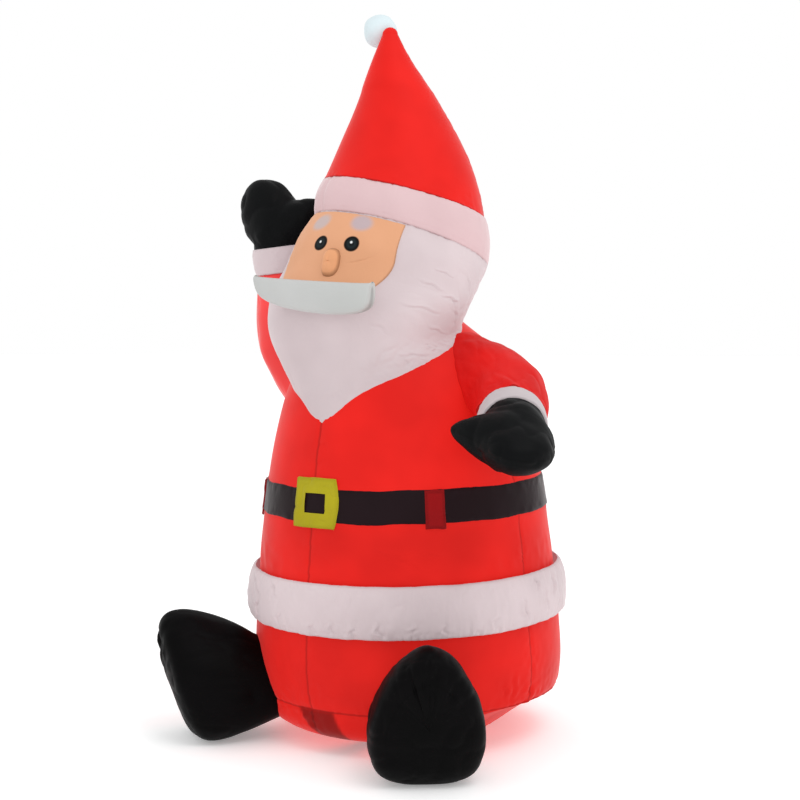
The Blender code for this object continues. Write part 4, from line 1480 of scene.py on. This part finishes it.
@dataclass
class Arm:
    """A sleeve, its cuff and its mitten."""

    body: Body
    side: Side
    path: tuple
    hand_axis: tuple
    thumb_axis: tuple
    thumb_root: float
    folds: float
    seed: int
    radii: tuple = (0.072, 0.062, 0.050)
    cuff_length: float = 0.046
    cuff_puff: float = 0.003
    mitten_length: float = 0.102
    mitten_width: float = 0.116
    mitten_thickness: float = 0.084
    thumb_length: float = 0.100
    thumb_radius: float = 0.052
    thumb_point: float = 0.62
    thumb_foot: float = 0.84
    voxel: float = 0.0026
    # Metres of cloth for each radian round each piece
    sleeve_girth: float = 0.064
    cuff_girth: float = 0.055
    mitten_girth: float = 0.05

    def line(self, t: float) -> tuple[Array, Array, float]:
        """Point, direction and radius on the arm's middle line.

        Args:
            t: 0 at the shoulder, 1 at the elbow and 2 at the wrist.

        Returns:
            The three, before the lean.
        """
        at = curve(self.path, [t, min(t + 0.02, 2.0), max(t - 0.02, 0.0)])
        radius = curve(tuple((r,) for r in self.radii), [t])[0, 0]
        return at[0], unit(at[1] - at[2]), float(radius)

    def build_sleeve(self) -> None:
        """The sleeve, gathered at the armhole and folded in the crook."""
        rows, sides = 120, 150
        middles, acrosses, thicks, radii = [], [], [], []
        for t in np.linspace(0, 2, rows):
            middle, ahead, radius = self.line(t)
            across, thick = across_of(ahead, np.array(self.thumb_axis))
            middles.append(middle)
            acrosses.append(across)
            thicks.append(thick)
            radii.append(radius)
        upright = oval_rings(middles, acrosses, thicks, radii, radii, sides)
        base = lean(upright)
        from_axis = np.hypot(upright[..., 0], upright[..., 1])
        armhole = np.maximum(from_axis - self.body.radius(upright[..., 2]), 0.0)
        along = np.broadcast_to(np.arange(sides) * self.sleeve_girth * TURN / sides, armhole.shape)
        up = run_lengths(base, 0)
        cuff = up[-1:] - up
        total = 2.0 * MM * noise(base, 0.045, self.seed)
        drawn = Gathers(24.0, 36.0, 5.0, self.seed + 1).relief(along, armhole)
        total += self.folds * drawn * smooth_step(0.0, 0.03, armhole)
        ahead = tuple(unit(middles[-1] - middles[0]))
        total += self.folds * 2.4 * MM * crisp(streaks(base, ahead, 0.07, 0.020, self.seed + 4))
        total += Gathers(18.0, 15.0, 1.8, self.seed + 7).relief(along, cuff)
        total += groove(armhole, 1.2, 3.0)
        total = total * smooth_step(0.0, 0.02, up)
        grid = raised(base, total)
        cloth = marks_of(along, up, np.minimum(armhole, cuff))
        piece = sew(f"sleeve_{self.side.word}_tube", grid, cloth)
        # The right sleeve takes the painted light, the left one the painted shade.
        finish = BRIGHTLY_LIT_RED if self.side is Side.RIGHT else SHADED_SLEEVE_RED
        place(piece, f"sleeve_{self.side.word}", finish)

    def build_cuff(self) -> None:
        """The white cuff, puffed and gathered."""
        rows, sides = 34, 150
        middle, ahead, radius = self.line(2.0)
        across, thick = across_of(ahead, np.array(self.thumb_axis))
        share = np.linspace(0, 1, rows)
        puff = np.sin(math.pi * share) ** 0.6
        count = [across] * rows, [thick] * rows
        middles = [middle + ahead * self.cuff_length * s for s in share]
        radii = [radius + self.cuff_puff * p for p in puff]
        base = lean(oval_rings(middles, *count, radii, radii, sides))
        along = np.broadcast_to(np.arange(sides) * self.cuff_girth * TURN / sides, base.shape[:2])
        up = share[:, None] * self.cuff_length + 0 * along
        edge = np.minimum(up, self.cuff_length - up)
        total = Gathers(15.0, 12.0, 1.3, self.seed + 20).relief(along, edge)
        total = total + 0.6 * MM * noise(base, 0.02, self.seed + 23)
        total = total * np.sin(math.pi * share)[:, None] ** 0.3
        grid = raised(base, total)
        piece = sew(f"cuff_{self.side.word}_puff", grid, marks_of(along, up, edge))
        # The left cuff takes the painted shade.
        finish = WHITE if self.side is Side.RIGHT else SHADED_CUFF_WHITE
        place(piece, f"cuff_{self.side.word}", finish)

    def mitten_rings(self) -> tuple[Array, Array]:
        """Rings of the hand and of the thumb, before the lean.

        Returns:
            The two, each rings by points by x, y, z.
        """
        sides = 64
        middle, ahead, radius = self.line(2.0)
        side = np.array(self.thumb_axis)
        cuff_across, cuff_thick = across_of(ahead, side)
        wrist = middle + ahead * self.cuff_length
        axis = unit(np.array(self.hand_axis))
        across, thick = across_of(axis, side)
        start = wrist + ahead * (radius * 0.55)
        middles = [wrist - ahead * 0.004, wrist]
        acrosses, thicks = [cuff_across] * 2, [cuff_thick] * 2
        wide = [radius - self.cuff_puff / 2] * 2
        deep = [radius - self.cuff_puff / 2] * 2
        for share in np.append(np.linspace(0, 0.9, 24), np.linspace(0.91, 0.999, 14)):
            round_off = math.sqrt(max(1 - share**2.6, 0.0))
            widen = math.sin(math.pi / 2 * min(share * 2, 1))
            width = radius + (self.mitten_width / 2 - radius) * widen
            depth = radius + (self.mitten_thickness / 2 - radius) * min(share * 2.5, 1)
            middles.append(start + axis * self.mitten_length * share)
            acrosses.append(across)
            thicks.append(thick)
            wide.append(width * round_off)
            deep.append(depth * round_off)
        hand = oval_rings(middles, acrosses, thicks, wide, deep, sides)
        thumb_dir = unit(side)
        t_across, t_thick = across_of(thumb_dir, axis)
        count = 30
        shares = np.linspace(0, 0.995, count)
        foot = 1 - (1 - self.thumb_foot) * np.clip(1 - shares / 0.2, 0, 1)
        swell = self.thumb_radius * (1 - shares) ** self.thumb_point * foot
        root = start + axis * self.mitten_length * self.thumb_root
        middles = root + thumb_dir * (self.thumb_length * shares)[:, None]
        thumb = oval_rings(middles, [t_across] * count, [t_thick] * count, swell, swell, sides)
        behind = np.minimum((thumb - wrist) @ ahead, 0.0)
        return hand, thumb - behind[..., None] * ahead

    def build_mitten(self) -> None:
        """The black mitten: hand and thumb fused to one bag, then folded along its seam."""
        hand, thumb = (lean(rings) for rings in self.mitten_rings())
        bag = sew(f"mitten_{self.side.word}_bag", hand, hand * 0)
        extra = sew("thumb", thumb, thumb * 0)
        fuse(bag, extra, self.voxel)
        points = vectors_of(bag.data.vertices, "co")
        middle, ahead, radius = self.line(2.0)
        axis = unit(np.array(self.hand_axis))
        across, thick = across_of(axis, np.array(self.thumb_axis))
        wrist = lean((middle + ahead * self.cuff_length)[None])[0]
        start = wrist + ahead * (radius * 0.55)
        local = points - start
        away = np.abs(local @ thick)
        along = local @ axis + np.arctan2(local @ across, local @ axis) * 0.03
        total = Gathers(24.0, 12.0, 1.6, self.seed + 30).relief(along, away)
        total += 2.2 * MM * crisp(noise(points, 0.030, self.seed + 33))
        cuff = np.maximum((points - wrist) @ ahead, 0.0)
        around = np.arctan2(local @ thick, local @ across) * self.mitten_girth
        total += Gathers(18.0, 18.0, 1.8, self.seed + 36).relief(around, cuff)
        total = total * smooth_step(-0.002, 0.008, (points - wrist) @ ahead)
        normals = vectors_of(bag.data.vertex_normals, "vector")
        move_points(bag, points + normals * total[:, None])
        cloth = marks_of(local @ axis, local @ across, away + MM)
        mark_points(bag.data, cloth, np.ones(len(points)))
        place(bag, f"mitten_{self.side.word}", BLACK)

    def build(self) -> None:
        """All the pieces of the arm."""
        self.build_sleeve()
        self.build_cuff()
        self.build_mitten()


def vectors_of(collection: bpy.types.bpy_prop_collection, key: str) -> Array:
    """A mesh's points or normals as an array.

    Args:
        collection: the mesh's vertices or vertex normals.
        key: the property that holds the vector.

    Returns:
        Points by x, y, z.
    """
    values = np.empty(len(collection) * 3, np.float32)
    collection.foreach_get(key, values)
    return values.reshape(-1, 3).astype(float)


def move_points(piece: Thing, points: Array) -> None:
    """Give a mesh new places for its points."""
    piece.data.vertices.foreach_set("co", points.astype(np.float32).ravel())
    piece.data.update()


def fuse(piece: Thing, other: Thing, voxel: float) -> None:
    """Make one smooth skin round two overlapping closed meshes.

    Args:
        piece: keeps the result.
        other: is removed.
        voxel: metres, the size of the new skin's faces.
    """
    both = piece.modifiers.new("join", "BOOLEAN")
    both.operation = "UNION"
    both.solver = "EXACT"
    both.object = other
    remesh = piece.modifiers.new("skin", "REMESH")
    remesh.mode = "VOXEL"
    remesh.voxel_size = voxel
    soften = piece.modifiers.new("soften", "SMOOTH")
    soften.factor = 0.5
    soften.iterations = 8
    bpy.context.view_layer.update()
    result = piece.evaluated_get(bpy.context.evaluated_depsgraph_get())
    mesh = bpy.data.meshes.new_from_object(result)
    piece.modifiers.clear()
    piece.data = mesh
    mesh.shade_smooth()
    bpy.data.objects.remove(other, do_unlink=True)


@dataclass
class Boot:
    """A boot that lies heel down with its toe up and its sole facing out."""

    side: Side
    seed: int
    angle: float = math.radians(40.5)
    height: float = 0.212
    width: float = 0.174
    sole_distance: float = 0.372
    sole_tilt: float = math.tan(math.radians(17.0))
    root_distance: float = 0.185
    rows: int = 110
    sides: int = 190
    sole_rings: int = 26
    # Millimetres by which the sole bulges
    sole_dome: float = 7
    # Rows before the sole's edge at which the smoothing sets in and is full, and its passes
    smooth_rows: tuple[int, int] = (34, 14)
    smooth_passes: int = 90
    low_share: float = 0.31
    tip_share: float = 0.60
    # Share of the way out, width share, height share, sole height, share of the sole's tilt
    stations: tuple = (
        (0.00, 0.64, 0.46, 0.050, 0.0),
        (0.28, 0.82, 0.61, 0.030, 0.2),
        (0.58, 0.98, 0.88, 0.009, 0.5),
        (0.80, 1.00, 1.00, 0.000, 0.8),
        (0.93, 0.95, 0.91, 0.006, 1.0),
        (1.00, 0.78, 0.68, 0.024, 1.0),
    )

    def outline(self, around: Array) -> tuple[Array, Array]:
        """Width and height shares of the sole's onion outline.

        Args:
            around: angles from the heel, 0 to half a turn.

        Returns:
            The two shares for each angle.
        """
        level = -np.cos(around)
        peak = (self.low_share - self.tip_share) / (self.low_share + self.tip_share)
        most = (1 + peak) ** self.low_share * (1 - peak) ** self.tip_share
        low = np.maximum(1 + level, 0.0) ** self.low_share
        return low * np.maximum(1 - level, 0.0) ** self.tip_share / most, (1 + level) / 2

    def shell(self, outward: Array) -> tuple[Array, Array]:
        """The boot from its root to the sole's edge.

        Args:
            outward: the direction that the boot points in.

        Returns:
            Rows by columns by x, y, z, and how far up the outline each column is.
        """
        sideways = np.array([-outward[1], outward[0], 0.0])
        values = curve(self.stations, np.linspace(0, len(self.stations) - 1, self.rows))
        around = round_angles(self.sides)
        width, level = self.outline(np.where(around <= math.pi, around, TURN - around))
        sign = np.where(around <= math.pi, 1.0, -1.0)
        share, wide, high, low, tilt = (values[:, i][:, None] for i in range(5))
        up = np.maximum(low + self.height * high * level, 0.0)
        out = self.root_distance + (self.sole_distance - self.root_distance) * share
        out = out + up * self.sole_tilt * tilt
        aside = sign * width * wide * self.width / 2
        upward = np.array([0.0, 0.0, 1.0])
        grid = out[..., None] * outward + aside[..., None] * sideways + up[..., None] * upward
        return grid, level

    def close_sole(self, grid: Array, outward: Array) -> Array:
        """Add the domed sole and smooth the edge where it starts.

        Args:
            grid: the shell's points.
            outward: the direction that the boot points in.

        Returns:
            The shell's rows and the sole's.
        """
        rim = grid[-1]
        middle = rim.mean(axis=0)
        dome = unit(outward - np.array([0.0, 0.0, self.sole_tilt]))
        for k in range(1, self.sole_rings):
            s = 1 - k / self.sole_rings
            sole = middle + (rim - middle) * s + dome * self.sole_dome * MM * (1 - s**3)
            grid = np.concatenate([grid, sole[None]])
        inner_rows = np.arange(1.0, len(grid) - 1)
        near_sole = smooth_step(*(self.rows - back for back in self.smooth_rows), inner_rows)
        near_sole = near_sole[:, None, None]
        for _ in range(self.smooth_passes):
            grid[1:-1] += 0.5 * near_sole * ((grid[:-2] + grid[2:]) / 2 - grid[1:-1])
        return grid

    def build(self) -> None:
        """The boot with its pleated toe and its sole."""
        turn = self.side.value * self.angle
        outward = np.array([math.sin(turn), -math.cos(turn), 0.0])
        grid, level = self.shell(outward)
        grid = self.close_sole(grid, outward)
        run = run_lengths(grid, 0)
        seam_row = self.rows - 1
        away = np.abs(run - run[seam_row][None])
        along = np.broadcast_to(run_lengths(grid[seam_row][None], 1), away.shape)
        toe = 0.12 + 0.88 * smooth_step(0.62, 0.95, np.broadcast_to(level, away.shape))
        total = toe * Gathers(22.0, 26.0, 4.2, self.seed).relief(along, away)
        total += 1.4 * MM * noise(grid, 0.07, self.seed + 4)
        total += 1.6 * MM * crisp(streaks(grid, tuple(outward), 0.08, 0.026, self.seed + 5))
        total = total * smooth_step(0.0, 0.02, grid[..., 2])
        grid = raised(grid, total)
        grid[..., 2] = np.maximum(grid[..., 2], 0.0)
        piece = sew(f"boot_{self.side.word}_bag", grid, marks_of(along, run, away + MM))
        place(piece, f"boot_{self.side.word}", BOOT_BLACK)


@dataclass
class Studio:
    """Camera, floor and soft light."""

    azimuth: float = math.radians(36.5)
    distance: float = 2.5
    height: float = 0.65
    focal_pixels: float = 1465.0
    horizon: float = 343.0
    axis_column: float = 410.0
    frame_pixels: float = 800.0

    def build_camera(self) -> None:
        """A level camera, shifted as the photograph is framed."""
        camera = bpy.data.cameras.new("camera")
        camera.sensor_width = 36.0
        camera.lens = self.focal_pixels / self.frame_pixels * camera.sensor_width
        camera.shift_x = (self.frame_pixels / 2 - self.axis_column) / self.frame_pixels
        camera.shift_y = (self.horizon - self.frame_pixels / 2) / self.frame_pixels
        holder = stand("camera", camera)
        x = self.distance * math.sin(self.azimuth)
        holder.location = (x, -self.distance * math.cos(self.azimuth), self.height)
        holder.rotation_euler = (math.pi / 2, 0.0, self.azimuth)
        bpy.context.scene.camera = holder

    def build_floor(self) -> None:
        """A matt white floor."""
        half = 60.0
        mesh = bpy.data.meshes.new("floor")
        corners = [(-half, -half, 0.0), (half, -half, 0.0), (half, half, 0.0), (-half, half, 0.0)]
        mesh.from_pydata(corners, [], [(0, 1, 2, 3)])
        material = bpy.data.materials.new("matt white floor")
        material.use_nodes = True
        shader = material.node_tree.nodes["Principled BSDF"]
        feed(shader, {"Base Color": linear("#F6F6F6"), "Emission Color": linear("#FFFFFF")})
        feed(shader, {"Emission Strength": 0.25, "Roughness": 0.9, "Specular IOR Level": 0.1})
        mesh.materials.append(material)
        floor = stand("floor", mesh)

    def build_light(self) -> None:
        """An even white surround and one large softbox."""
        world = bpy.data.worlds.new("surround")
        bpy.context.scene.world = world
        world.use_nodes = True
        sky = world.node_tree.nodes["Background"]
        feed(sky, {"Color": linear("#FFFFFF"), "Strength": 1.0})
        lamp = bpy.data.lights.new("softbox", "AREA")
        lamp.shape = "SQUARE"
        lamp.size = 1.6
        lamp.energy = 24.0
        box = stand("softbox", lamp)
        box.location = (1.9, -0.9, 3.0)
        aim = Vector((0.0, 0.0, 0.6)) - box.location
        box.rotation_euler = aim.to_track_quat("-Z", "Y").to_euler()

    def build(self) -> None:
        """Everything round the figure."""
        self.build_camera()
        self.build_floor()
        self.build_light()
        bpy.context.scene.view_settings.view_transform = "Standard"


# Shoulder, elbow and wrist of each arm, before the lean
RIGHT_ARM = ((-0.140, 0.000, 0.545), (-0.230, -0.012, 0.652), (-0.238, -0.025, 0.777))
LEFT_ARM = ((0.120, 0.000, 0.598), (0.233, -0.040, 0.573), (0.298, -0.128, 0.542))


def main() -> None:
    """Build every piece and the studio."""
    body = Body()
    body.build()
    Head(body).build()
    Hat().build()
    Arm(
        body, Side.RIGHT, RIGHT_ARM, hand_axis=(-0.52, -0.06, 0.84), thumb_axis=(0.85, 0.10, 0.52),
        thumb_root=-0.05, folds=0.45, seed=300,
    ).build()
    Arm(
        body, Side.LEFT, LEFT_ARM, hand_axis=(0.58, -0.76, -0.30), thumb_axis=(-0.92, -0.33, 0.22),
        thumb_root=0.30, folds=1.0, seed=400,
    ).build()
    for side, seed in ((Side.RIGHT, 500), (Side.LEFT, 520)):
        Boot(side, seed).build()
    Studio().build()


if __name__ == "__main__":
    main()
